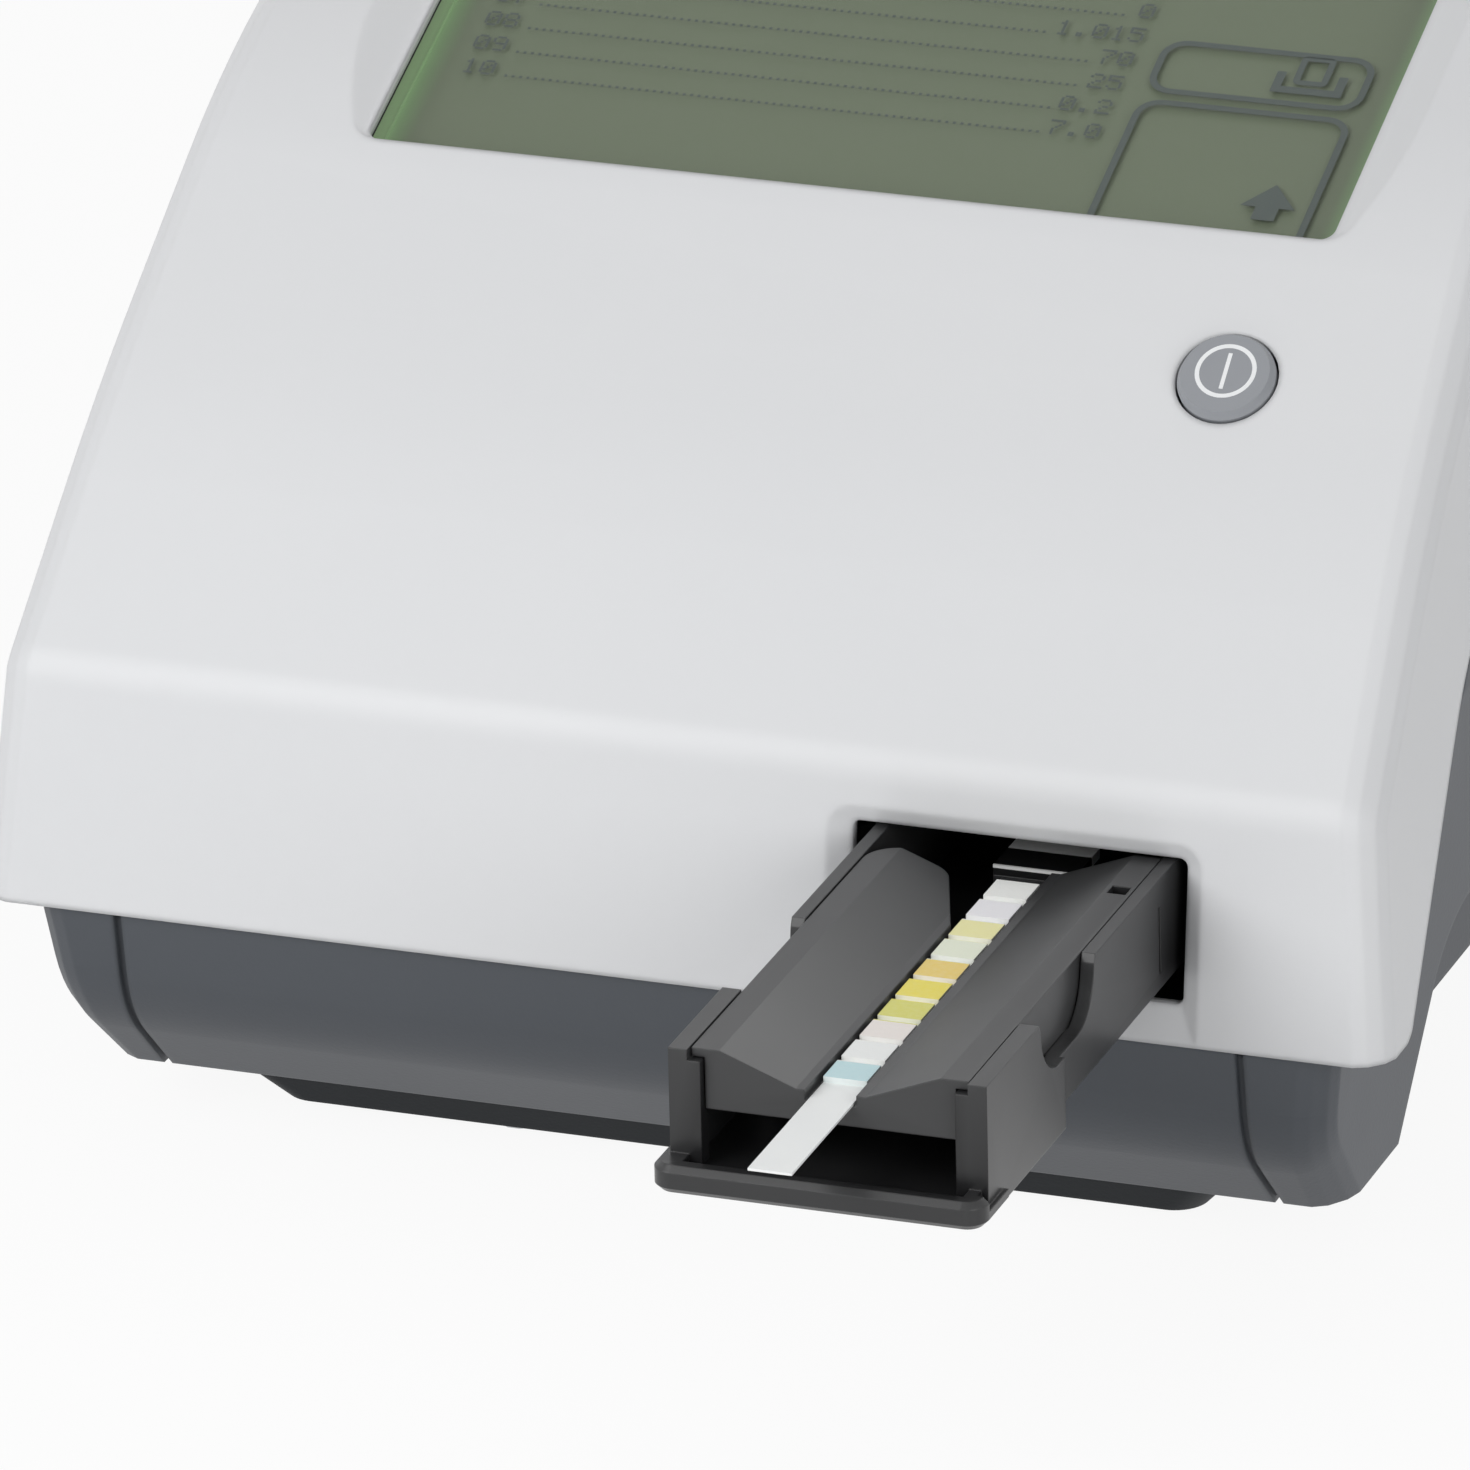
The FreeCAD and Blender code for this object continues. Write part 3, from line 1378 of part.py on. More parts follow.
def make_paper_bucket():
    room = block((-stand_inner, stand_inner), stand_y, (foot_level, bucket_top))
    bucket = bucket_trough(bucket_wall).common(room)
    flange = block((-stand_outer, stand_outer), spread(bucket_y, bucket_radius),
                   (bucket_top - bucket_wall, bucket_top))
    return bucket.fuse(flange).cut(bucket_trough(0.0)).removeSplitter()


def make_printer_stand():
    top = bucket_top - bucket_wall
    shelf = block((-stand_inner, stand_inner), grown(frame_y, shelf_front, shelf_back),
                  (frame_low - frame_plate, frame_low))
    window = box_corners(grown(stand_y, -window_inset, -window_inset),
                         (foot_level + window_inset, top - 2 * window_inset))
    for x_range in ((stand_inner, stand_outer), (-stand_outer, -stand_inner)):
        side_plate = block(x_range, stand_y, (foot_level, top))
        shelf = shelf.fuse(side_plate.cut(prism(window, "x", x_range[0] - overrun, x_range[1] + overrun)))
    return shelf.removeSplitter()


def roll_rod(radius):
    return sided_rod((-roll_half, bucket_y, roll_z), (1, 0, 0), radius, roll_half * 2, core_side_count)


write_node("paper_bucket", make_paper_bucket())
paper = rod((-roll_half, bucket_y, roll_z), (1, 0, 0), roll_radius, roll_half * 2)
write_node("paper_roll", paper.cut(roll_rod(core_radius)))
write_node("roll_core", roll_rod(core_radius).cut(roll_rod(core_radius - core_wall)))
write_node("printer_stand", make_printer_stand())
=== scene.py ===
import math

import bpy
from mathutils import Matrix, Vector


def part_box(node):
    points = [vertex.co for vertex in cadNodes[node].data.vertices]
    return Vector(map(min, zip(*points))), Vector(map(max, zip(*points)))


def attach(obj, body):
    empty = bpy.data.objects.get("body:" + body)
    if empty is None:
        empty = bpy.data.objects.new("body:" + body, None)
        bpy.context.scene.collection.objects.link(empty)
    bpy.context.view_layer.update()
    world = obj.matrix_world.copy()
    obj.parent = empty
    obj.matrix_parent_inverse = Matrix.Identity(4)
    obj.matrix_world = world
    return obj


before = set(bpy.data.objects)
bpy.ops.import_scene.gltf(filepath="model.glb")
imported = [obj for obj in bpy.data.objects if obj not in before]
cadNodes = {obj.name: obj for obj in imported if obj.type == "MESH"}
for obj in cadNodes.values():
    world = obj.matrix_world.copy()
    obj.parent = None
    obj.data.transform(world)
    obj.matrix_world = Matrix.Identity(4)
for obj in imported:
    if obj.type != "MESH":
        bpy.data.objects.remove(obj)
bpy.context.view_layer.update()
mm = 0.001
print("frame loaded:", len(cadNodes), "nodes")


# colours are given as they look on screen, 0 to 255
def paint(red, green, blue):
    def linear(value):
        share = value / 255
        return share / 12.92 if share <= 0.04045 else ((share + 0.055) / 1.055) ** 2.4
    return (linear(red), linear(green), linear(blue), 1.0)


# one output socket; arithmetic on it adds math nodes
class Wire:
    def __init__(self, shade, socket):
        self.shade = shade
        self.socket = socket

    def calc(self, operation, *values):
        return self.shade.add("Math", {"operation": operation}, dict(enumerate(values)))

    def __add__(self, other):
        return self.calc("ADD", self, other)

    def __radd__(self, other):
        return self.calc("ADD", other, self)

    def __sub__(self, other):
        return self.calc("SUBTRACT", self, other)

    def __rsub__(self, other):
        return self.calc("SUBTRACT", other, self)

    def __mul__(self, other):
        return self.calc("MULTIPLY", self, other)

    def __rmul__(self, other):
        return self.calc("MULTIPLY", other, self)

    def __truediv__(self, other):
        return self.calc("DIVIDE", self, other)

    def __rtruediv__(self, other):
        return self.calc("DIVIDE", other, self)

    def __pow__(self, other):
        return self.calc("POWER", self, other)

    def __rpow__(self, other):
        return self.calc("POWER", other, self)

    def __gt__(self, other):
        return self.calc("GREATER_THAN", self, other)

    def __lt__(self, other):
        return self.calc("LESS_THAN", self, other)

    def clamp(self):
        return self.calc("MINIMUM", self.calc("MAXIMUM", self, 0.0), 1.0)

    def wave(self):
        return self.calc("SINE", self)

    def fraction(self):
        return self.calc("FRACT", self)

    def size(self):
        return self.calc("ABSOLUTE", self)


# one material and the nodes in it
class Shade:
    def __init__(self, name):
        self.material = bpy.data.materials.new(name)
        self.material.use_nodes = True
        self.tree = self.material.node_tree
        self.tree.nodes.clear()
        self.place = self.add("TexCoord", output="Object")

    def feed(self, socket, value):
        if isinstance(value, Wire):
            self.tree.links.new(value.socket, socket)
        else:
            socket.default_value = value

    def add(self, kind, settings=None, sockets=None, output=0):
        node = self.tree.nodes.new("ShaderNode" + kind)
        for key, value in (settings or {}).items():
            if key == "stops":
                fillRamp(node.color_ramp, value)
            else:
                setattr(node, key, value)
        for key, value in (sockets or {}).items():
            self.feed(node.inputs[key], value)
        return Wire(self, node.outputs[output])

    def axes(self):
        split = self.add("SeparateXYZ", None, {0: self.place})
        node = split.socket.node
        return [Wire(self, socket) for socket in node.outputs]

    def noise(self, scale, detail=2.0, stretch=None):
        where = self.place
        if stretch:
            where = self.add("VectorMath", {"operation": "MULTIPLY"}, {0: where, 1: stretch})
        return self.add("TexNoise", None, {"Vector": where, "Scale": scale, "Detail": detail})

    def mix(self, share, first, second):
        return self.add("Mix", {"data_type": "RGBA"}, {0: share, 6: first, 7: second}, 2)

    def bump(self, height, strength, depth, softness=0.0):
        sockets = {"Height": height, "Strength": strength, "Distance": depth}
        if softness:
            sockets["Normal"] = self.add("Bevel", {"samples": 4}, {"Radius": softness})
        return self.add("Bump", None, sockets)

    def grain(self, look):
        return self.bump(self.noise(look["grainScale"]), look["grainStrength"], look["grainDepth"],
                         look.get("softness", 0.0))

    def finish(self, **sockets):
        named = {key.replace("_", " "): value for key, value in sockets.items()}
        self.close(self.add("BsdfPrincipled", None, named))
        return self.material

    def close(self, surface):
        output = self.tree.nodes.new("ShaderNodeOutputMaterial")
        self.tree.links.new(surface.socket, output.inputs["Surface"])


def fillRamp(ramp, stops):
    while len(ramp.elements) > 1:
        ramp.elements.remove(ramp.elements[-1])
    ramp.elements[0].position = stops[0][0]
    ramp.elements[0].color = stops[0][1]
    for position, colour in stops[1:]:
        ramp.elements.new(position).color = colour


def dress(material, *names):
    for name in names:
        slots = cadNodes[name].material_slots
        for index in range(len(slots)):
            slots[index].material = material


# the middle of a noise, the pointiness of a flat face, where clouds begin to show, plastic's usual ior
noiseMiddle = 0.5
flatPointiness = 0.5
cloudFloor = 0.3
plasticIor = 1.46


# moulded plastic: fine spark grain, faint cloudiness, slightly lighter worn edges
def mouldedPlastic(name, look):
    shade = Shade(name)
    cloud = shade.noise(look["cloudScale"], 3.0)
    edge = shade.add("NewGeometry", output="Pointiness")
    worn = ((edge - flatPointiness) * look["edgeGain"]).clamp() * look["edgeShare"]
    base = shade.mix((cloud - cloudFloor).clamp() * look["cloudShare"], look["colour"], look["shade"])
    colour = shade.mix(worn, base, look["edgeColour"])
    rough = look["roughness"] + (cloud - noiseMiddle) * look["roughSpread"]
    return shade.finish(Base_Color=colour, Roughness=rough, IOR=look.get("ior", plasticIor),
                        Normal=shade.grain(look))


shellLook = {
    "colour": paint(216, 217, 219), "shade": paint(209, 211, 214), "edgeColour": paint(226, 227, 228),
    "cloudScale": 18.0, "cloudShare": 0.5, "grainScale": 2600.0, "grainStrength": 0.10, "grainDepth": 0.00006,
    "edgeGain": 6.0, "edgeShare": 0.3, "roughness": 0.42, "roughSpread": 0.08, "softness": 1.2 * mm,
}
housingLook = {
    "colour": paint(68, 72, 78), "shade": paint(61, 65, 71), "edgeColour": paint(88, 92, 98),
    "cloudScale": 14.0, "cloudShare": 0.6, "grainScale": 2000.0, "grainStrength": 0.25, "grainDepth": 0.00010,
    "edgeGain": 6.0, "edgeShare": 0.3, "roughness": 0.48, "roughSpread": 0.10, "softness": 1.0 * mm,
}
panLook = dict(housingLook, colour=paint(34, 37, 40), shade=paint(29, 32, 35), edgeColour=paint(52, 55, 59),
               roughness=0.62, ior=1.25)
trayLook = {
    "colour": paint(34, 34, 35), "shade": paint(27, 27, 28), "edgeColour": paint(82, 83, 84),
    "cloudScale": 60.0, "cloudShare": 0.5, "grainScale": 900.0, "grainStrength": 0.05, "grainDepth": 0.00004,
    "edgeGain": 8.0, "edgeShare": 0.4, "roughness": 0.30, "roughSpread": 0.10, "softness": 0.25 * mm,
}
innerLook = {
    "colour": paint(40, 41, 43), "shade": paint(33, 34, 36), "edgeColour": paint(66, 67, 70),
    "cloudScale": 40.0, "cloudShare": 0.6, "grainScale": 1800.0, "grainStrength": 0.2, "grainDepth": 0.00008,
    "edgeGain": 6.0, "edgeShare": 0.3, "roughness": 0.55, "roughSpread": 0.12,
}
buttonLook = {
    "colour": paint(141, 144, 149), "shade": paint(134, 137, 142), "edgeColour": paint(168, 170, 174),
    "cloudScale": 90.0, "cloudShare": 0.5, "grainScale": 3000.0, "grainStrength": 0.12, "grainDepth": 0.00005,
    "edgeGain": 8.0, "edgeShare": 0.4, "roughness": 0.40, "roughSpread": 0.08,
}
gearLook = {
    "colour": paint(236, 233, 224), "shade": paint(224, 220, 208), "edgeColour": paint(246, 244, 238),
    "cloudScale": 120.0, "cloudShare": 0.6, "grainScale": 2200.0, "grainStrength": 0.1, "grainDepth": 0.00004,
    "edgeGain": 5.0, "edgeShare": 0.3, "roughness": 0.38, "roughSpread": 0.10,
}
coreLook = dict(gearLook, colour=paint(182, 178, 168), shade=paint(168, 163, 150), roughness=0.7)
chipLook = dict(innerLook, colour=paint(28, 28, 29), shade=paint(22, 22, 23), roughness=0.5)
rubberLook = dict(innerLook, colour=paint(38, 38, 39), shade=paint(30, 30, 31), roughness=0.78,
                  grainScale=1400.0, grainStrength=0.35)
whiteLook = dict(gearLook, colour=paint(240, 241, 240), shade=paint(232, 234, 233), roughness=0.3)

dress(mouldedPlastic("shellPlastic", shellLook), "top_cover", "printer_lid")
dress(mouldedPlastic("housingPlastic", housingLook), "lower_housing")
dress(mouldedPlastic("panPlastic", panLook), "base_pan", "battery_door")
dress(mouldedPlastic("trayPlastic", trayLook), "test_table", "table_insert")
dress(mouldedPlastic("innerPlastic", innerLook), "battery_holder", "table_guide", "optics_housing",
      "paper_bucket", "printer_stand", "thermal_head")
dress(mouldedPlastic("buttonPlastic", buttonLook), "power_button")
dress(mouldedPlastic("gearPlastic", gearLook), "table_rack", "drive_pinion", "platen_gear", "idler_gear",
      "printer_pinion")
dress(mouldedPlastic("corePlastic", coreLook), "roll_core")
dress(mouldedPlastic("chipPlastic", chipLook), "button_switch", "light_sensor", "board_chips", "beeper",
      "power_jack", "memory_card")
dress(mouldedPlastic("softRubber", rubberLook), "rubber_feet", "platen_roller", "display_gasket")
dress(mouldedPlastic("whiteLamp", whiteLook), "optics_lamps")

# calibration bar: a white tile, its front band painted near-black as painted shade, with a painted highlight
# along its front top edge
tileLook = {
    "tile": paint(238, 240, 239), "holder": paint(16, 16, 17), "edge": paint(232, 233, 232),
    "holderShade": paint(26, 26, 27), "highlightWidth": 0.35 * mm, "paintedShadeWidth": 5.2 * mm, "cloudScale": 80.0,
    "cloudShare": 0.3, "grainScale": 1200.0, "grainStrength": 0.08, "grainDepth": 0.00003,
    "roughness": 0.4, "roughSpread": 0.1,
}


def calibrationTile(name, look):
    shade = Shade(name)
    y, z = shade.axes()[1:]
    low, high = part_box("calibration_bar")
    back = y - low[1]
    cloud = shade.noise(look["cloudScale"])
    # painted highlight: a thin bright line along the front top edge of the bar
    edge = (back < look["highlightWidth"]) * (z > high[2] - look["highlightWidth"])
    # painted shade: in front of the white tile the bar is painted near-black
    tile = back > look["paintedShadeWidth"]
    holder = shade.mix(cloud * look["cloudShare"], look["holder"], look["holderShade"])
    colour = shade.mix(edge, shade.mix(tile, holder, look["tile"]), look["edge"])
    rough = look["roughness"] + (cloud - noiseMiddle) * look["roughSpread"]
    return shade.finish(Base_Color=colour, Roughness=rough, Normal=shade.grain(look))


dress(calibrationTile("calibrationTile", tileLook), "calibration_bar")
print("plastics done")


# brushed or plated metal with lines along one axis
def brushedMetal(name, look):
    shade = Shade(name)
    lines = shade.noise(look["lineScale"], 3.0, look["lineStretch"])
    cloud = shade.noise(look["cloudScale"], 2.0)
    colour = shade.mix(cloud, look["colour"], look["shade"])
    rough = look["roughness"] + (lines - noiseMiddle) * look["roughSpread"]
    return shade.finish(Base_Color=colour, Metallic=1.0, Roughness=rough,
                        Normal=shade.bump(lines, look["lineStrength"], look["lineDepth"]))


steelLook = {
    "colour": paint(196, 197, 200), "shade": paint(176, 178, 182), "lineScale": 900.0,
    "lineStretch": (0.05, 1.0, 1.0), "cloudScale": 60.0, "roughness": 0.34, "roughSpread": 0.2,
    "lineStrength": 0.15, "lineDepth": 0.00003,
}
motorLook = dict(steelLook, colour=paint(150, 152, 156), shade=paint(132, 134, 138), roughness=0.42)
dress(brushedMetal("brushedSteel", steelLook), "lid_hinge_pins", "case_screws", "board_standoffs",
      "serial_port", "card_slot", "printer_frame", "platen_shaft", "tear_bar")
dress(brushedMetal("motorMetal", motorLook), "table_motor", "printer_motor")


# circuit board: green mask with faint copper runs and tinned pads
boardLook = {
    "mask": paint(24, 84, 48), "run": paint(38, 108, 66), "pad": paint(198, 190, 150),
    "runPitch": 1.6 * mm, "padPitch": 5.0 * mm, "runShare": 0.42, "padShare": 0.16, "bendScale": 70.0,
    "bend": 3.0, "runStrength": 0.2, "runDepth": 0.00004, "roughness": 0.32, "padRoughness": 0.1,
}


def circuitBoard(name, look):
    shade = Shade(name)
    x, y = shade.axes()[:2]
    bend = shade.noise(look["bendScale"], 1.0) * look["bend"]
    runs = ((x / look["runPitch"] + bend).fraction() - 0.5).size() < look["runShare"] * 0.5
    across = ((x / look["padPitch"]).fraction() - 0.5) ** 2.0
    along = ((y / look["padPitch"]).fraction() - 0.5) ** 2.0
    pads = (across + along) < look["padShare"] ** 2
    colour = shade.mix(pads, shade.mix(runs, look["mask"], look["run"]), look["pad"])
    return shade.finish(Base_Color=colour, Roughness=look["roughness"] + pads * look["padRoughness"],
                        Normal=shade.bump(runs, look["runStrength"], look["runDepth"]))


dress(circuitBoard("circuitBoard", boardLook), "display_board", "button_board", "optics_board", "main_board",
      "port_board")


# flat cable: side by side cores, with painted shade darkening the grooves between them
ribbonLook = {
    "core": paint(158, 160, 164), "paintedGrooveShade": paint(118, 120, 124), "pitch": 1.27 * mm, "roughness": 0.45,
    "ridgeStrength": 0.5, "ridgeDepth": 0.0002,
}


def flatCable(name, look):
    shade = Shade(name)
    x = shade.axes()[0]
    # painted shade: the grooves between cores take the darker colour
    ridge = (x / look["pitch"] * math.tau).wave() * 0.5 + 0.5
    return shade.finish(Base_Color=shade.mix(ridge, look["paintedGrooveShade"], look["core"]),
                        Roughness=look["roughness"],
                        Normal=shade.bump(ridge, look["ridgeStrength"], look["ridgeDepth"]))


dress(flatCable("flatCable", ribbonLook), "display_ribbon")


# paper: fine fibres, and faint layers round the roll
paperLook = {
    "colour": paint(244, 243, 238), "fibre": paint(232, 230, 222), "fibreScale": 1500.0, "fibreShare": 0.5,
    "layerScale": 300.0, "layerShare": 0.4, "fibreStrength": 0.2, "fibreDepth": 0.00005, "roughness": 0.85,
}


def thermalPaper(name, look):
    shade = Shade(name)
    fibre = shade.noise(look["fibreScale"], 4.0, (1.0, 0.25, 1.0))
    layers = shade.noise(look["layerScale"], 2.0, (0.02, 1.0, 1.0))
    share = fibre * look["fibreShare"] + layers * look["layerShare"]
    return shade.finish(Base_Color=shade.mix(share, look["colour"], look["fibre"]),
                        Roughness=look["roughness"],
                        Normal=shade.bump(fibre, look["fibreStrength"], look["fibreDepth"]))


dress(thermalPaper("thermalPaper", paperLook), "paper_roll")

# battery cells: dark wrap with a bright band at one end of each
cellLook = {
    "wrap": paint(44, 46, 50), "band": paint(186, 120, 62), "bandShare": 0.24, "columnLength": 51.7 * mm,
    "roughness": 0.3, "metallic": 0.4, "grainScale": 400.0, "grainStrength": 0.1, "grainDepth": 0.00005,
}


def wrappedCell(name, look):
    shade = Shade(name)
    y = shade.axes()[1]
    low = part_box("battery_cells")[0][1]
    along = ((y - low) / look["columnLength"]).fraction()
    band = along < look["bandShare"]
    return shade.finish(Base_Color=shade.mix(band, look["wrap"], look["band"]),
                        Roughness=look["roughness"], Metallic=look["metallic"], Normal=shade.grain(look))


dress(wrappedCell("wrappedCell", cellLook), "battery_cells")
print("metals, boards, paper and cells done")

# reagent pads: one colour each, from the back of the strip to its handle
padLook = {
    "colours": [paint(246, 247, 244), paint(243, 242, 246), paint(243, 238, 172), paint(237, 242, 221),
                paint(240, 211, 114), paint(242, 226, 88), paint(222, 219, 112), paint(242, 235, 230),
                paint(244, 246, 245), paint(196, 227, 232)],
    "pitch": 5.93 * mm, "paper": paint(244, 245, 242), "fibreScale": 1600.0, "fibreShare": 0.2,
    "sideShare": 0.7, "fibreStrength": 0.4, "fibreDepth": 0.0001, "roughness": 0.9,
}


def padPaper(name, look):
    shade = Shade(name)
    y = shade.axes()[1]
    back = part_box("reagent_pads")[1][1]
    count = len(look["colours"])
    place = (back - y) / (look["pitch"] * count)
    stops = [(index / count, colour) for index, colour in enumerate(look["colours"])]
    colour = shade.add("ValToRGB", {"stops": stops}, {0: place})
    colour.socket.node.color_ramp.interpolation = "CONSTANT"
    fibre = shade.noise(look["fibreScale"], 4.0)
    facing = shade.add("NewGeometry", output="Normal")
    upward = Wire(shade, shade.add("SeparateXYZ", None, {0: facing}).socket.node.outputs[2])
    top = shade.mix(fibre * look["fibreShare"], colour, look["paper"])
    tint = shade.mix((upward < 0.5) * look["sideShare"], top, look["paper"])
    return shade.finish(Base_Color=tint, Roughness=look["roughness"],
                        Normal=shade.bump(fibre, look["fibreStrength"], look["fibreDepth"]))


dress(padPaper("padPaper", padLook), "reagent_pads")

# test strip: white plastic film
stripLook = {
    "colour": paint(243, 245, 244), "shade": paint(237, 239, 239), "cloudScale": 120.0, "roughness": 0.35,
    "roughSpread": 0.1, "grainScale": 900.0, "grainStrength": 0.05, "grainDepth": 0.00004,
}


def stripFilm(name, look):
    shade = Shade(name)
    cloud = shade.noise(look["cloudScale"])
    rough = look["roughness"] + (cloud - noiseMiddle) * look["roughSpread"]
    return shade.finish(Base_Color=shade.mix(cloud, look["colour"], look["shade"]), Roughness=rough,
                        Normal=shade.grain(look))


dress(stripFilm("stripFilm", stripLook), "test_strip")

# liquid crystal display: olive field, lighter green light leaking in at both sides, fine cell grid
displayLook = {
    "field": paint(102, 113, 91), "grid": paint(93, 104, 83), "leak": paint(92, 150, 84),
    "glow": paint(100, 109, 90), "leakInset": 5.0 * mm, "leakWidth": 3.6 * mm, "leakFade": 1.5,
    "cellPitch": 0.36 * mm, "gridStart": 0.86, "gridShare": 0.35, "gridStrength": 0.05,
    "gridDepth": 0.00002, "cloudScale": 30.0, "cloudShare": 0.3, "roughness": 0.5,
}


def liquidCrystal(name, look):
    shade = Shade(name)
    x, y = shade.axes()[:2]
    low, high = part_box("display_module")
    middle = (low[0] + high[0]) * 0.5
    halfField = (high[0] - low[0]) * 0.5 - look["leakInset"]
    fromEdge = halfField - (x - middle).size()
    leak = (1.0 - fromEdge / look["leakWidth"]).clamp() ** look["leakFade"]
    across = ((x / look["cellPitch"]).fraction() - 0.5).size() * 2.0
    along = ((y / look["cellPitch"]).fraction() - 0.5).size() * 2.0
    gridLines = ((across > look["gridStart"]) + (along > look["gridStart"])).clamp()
    gridMask = gridLines * look["gridShare"]
    cloud = shade.noise(look["cloudScale"])
    clouded = shade.mix(cloud * look["cloudShare"], look["field"], look["grid"])
    field = shade.mix(gridMask, clouded, look["grid"])
    glow = shade.mix(leak, (0.0, 0.0, 0.0, 1.0), look["glow"])
    return shade.finish(Base_Color=shade.mix(leak, field, look["leak"]), Roughness=look["roughness"],
                        Emission_Color=glow, Emission_Strength=1.0,
                        Normal=shade.bump(gridMask, look["gridStrength"], look["gridDepth"]))


dress(liquidCrystal("liquidCrystal", displayLook), "display_module")

# clear covers: a thin veil with faint smears
glassLook = {
    "tint": paint(150, 158, 142), "alpha": 0.05, "roughness": 0.12, "smearScale": 25.0, "smearStart": 0.4,
    "smearRoughness": 0.12,
}


def touchGlass(name, look):
    shade = Shade(name)
    smear = (shade.noise(look["smearScale"], 3.0) - look["smearStart"]).clamp()
    material = shade.finish(Base_Color=look["tint"], Alpha=look["alpha"],
                            Roughness=look["roughness"] + smear * look["smearRoughness"])
    material.surface_render_method = "BLENDED"
    return material


dress(touchGlass("touchGlass", glassLook), "touch_screen")
dress(touchGlass("lensGlass", dict(glassLook, alpha=0.3, roughness=0.03)), "optics_lens")
print("strip and display done")


# which faces count as tilted to the front, and how near the top of a piece its crown lies
tiltRange = (0.7, 0.99)
sidewaysLimit = 0.01
crownSlack = 0.01 * mm


# corners of the highest of a node's tilted faces, and the way up along it
def topFace(name):
    mesh = cadNodes[name].data
    tilted = [face for face in mesh.polygons
              if tiltRange[0] < face.normal.z < tiltRange[1] and abs(face.normal.x) < sidewaysLimit]
    widest = max(tilted, key=lambda face: face.area)
    out = widest.normal.copy()
    up = out.cross(Vector((1, 0, 0)))
    points = [vertex.co for vertex in mesh.vertices]
    top = max(point.dot(out) for point in points)
    return [point for point in points if point.dot(out) > top - crownSlack], up


# flat marks laid on a tilted plane
def planeMatrix(origin, right, up):
    normal = right.cross(up)
    return Matrix.Translation(origin) @ Matrix((right, up, normal)).transposed().to_4x4()


def flatMark(name, material, body, matrix, outlines, thickness):
    points = []
    faces = []
    for outline in outlines:
        first = len(points)
        count = len(outline)
        points += [(x, y, level) for level in (0.0, thickness) for x, y in outline]
        faces.append([first + index for index in reversed(range(count))])
        faces.append([first + count + index for index in range(count)])
        faces += [[first + index, first + (index + 1) % count, first + count + (index + 1) % count,
                   first + count + index] for index in range(count)]
    mesh = bpy.data.meshes.new(name)
    mesh.from_pydata([matrix @ Vector(point) for point in points], [], faces)
    mesh.materials.append(material)
    mark = bpy.data.objects.new(name, mesh)
    bpy.context.scene.collection.objects.link(mark)
    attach(mark, body)
    return mark


def ringPieces(centre, outer, inner, start, stop, steps):
    pieces = []
    for index in range(steps):
        first = start + (stop - start) * index / steps
        second = start + (stop - start) * (index + 1) / steps
        corners = ((outer, first), (outer, second), (inner, second), (inner, first))
        pieces.append([(centre[0] + radius * math.cos(angle), centre[1] + radius * math.sin(angle))
                       for radius, angle in corners])
    return pieces


def bar(x0, y0, x1, y1):
    return [(x0, y0), (x1, y0), (x1, y1), (x0, y1)]


# power mark on the button: a ring with an upright bar
powerMark = {
    "ring": 3.6 * mm, "ringSteps": 48, "line": 0.52 * mm, "barHalf": 2.4 * mm, "barWidth": 0.48 * mm,
    "rise": 0.3 * mm, "lift": 0.03 * mm, "colour": paint(238, 239, 240), "shade": paint(230, 232, 234),
    "grainScale": 900.0, "grainStrength": 0.1, "grainDepth": 0.00003, "roughness": 0.45,
}


def addPowerMark(look):
    crown, up = topFace("power_button")
    centre = sum(crown, Vector()) / len(crown) + up * look["rise"]
    matrix = planeMatrix(centre, Vector((1, 0, 0)), up)
    shade = Shade("markWhite")
    grain = shade.noise(look["grainScale"])
    white = shade.finish(Base_Color=shade.mix(grain, look["colour"], look["shade"]),
                         Roughness=look["roughness"],
                         Normal=shade.bump(grain, look["grainStrength"], look["grainDepth"]))
    outlines = ringPieces((0.0, 0.0), look["ring"], look["ring"] - look["line"], 0.0, math.tau,
                          look["ringSteps"])
    half = look["barWidth"] * 0.5
    outlines.append(bar(-half, -look["barHalf"], half, look["barHalf"]))
    mark = flatMark("power_mark", white, "button", matrix, outlines, look["lift"])


addPowerMark(powerMark)

# what the display shows: numbered rows with dotted leaders and plain numbers, and two keys with a mark each;
# places are measured from the middle of the opening's foot, and leaders and digits are counted in pixels
screenMarks = {
    "rows": ["7.0", "0.2", "25", "70", "1.015", "0", "6.5", "15", "0.2", "10"],
    "footInset": 1.5 * mm, "pixel": 0.37 * mm, "firstRow": 16.8 * mm, "rowPitch": 4.3 * mm,
    "rowLeft": -53.6 * mm, "rowRight": 25.5 * mm, "leaderStart": 15, "leaderEnd": 3, "leaderStep": 2.5,
    "keyLeft": 27.9 * mm, "keyRight": 54.0 * mm, "keyRises": [(0.6 * mm, 24.6 * mm), (25.8 * mm, 35.2 * mm)],
    "line": 0.85 * mm, "cornerRound": 3.0 * mm, "arrow": (48.4 * mm, 6.0 * mm), "arrowHalf": 1.4 * mm,
    "arrowStem": 2.2 * mm, "arrowWing": 3.3 * mm, "arrowTop": 6.2 * mm, "box": (42.6 * mm, 28.0 * mm),
    "boxWidth": 8.6 * mm, "boxHeight": 3.6 * mm, "boxLine": 1.1 * mm, "sheetLow": (2.2 * mm, 1.6 * mm),
    "sheetHigh": (6.4 * mm, 6.6 * mm), "sheetLine": 0.8 * mm, "lift": 0.02 * mm,
    "ink": paint(62, 72, 72), "inkShade": paint(72, 82, 78), "inkScale": 500.0, "inkStrength": 0.05,
    "inkDepth": 0.00002, "roughness": 0.5,
}
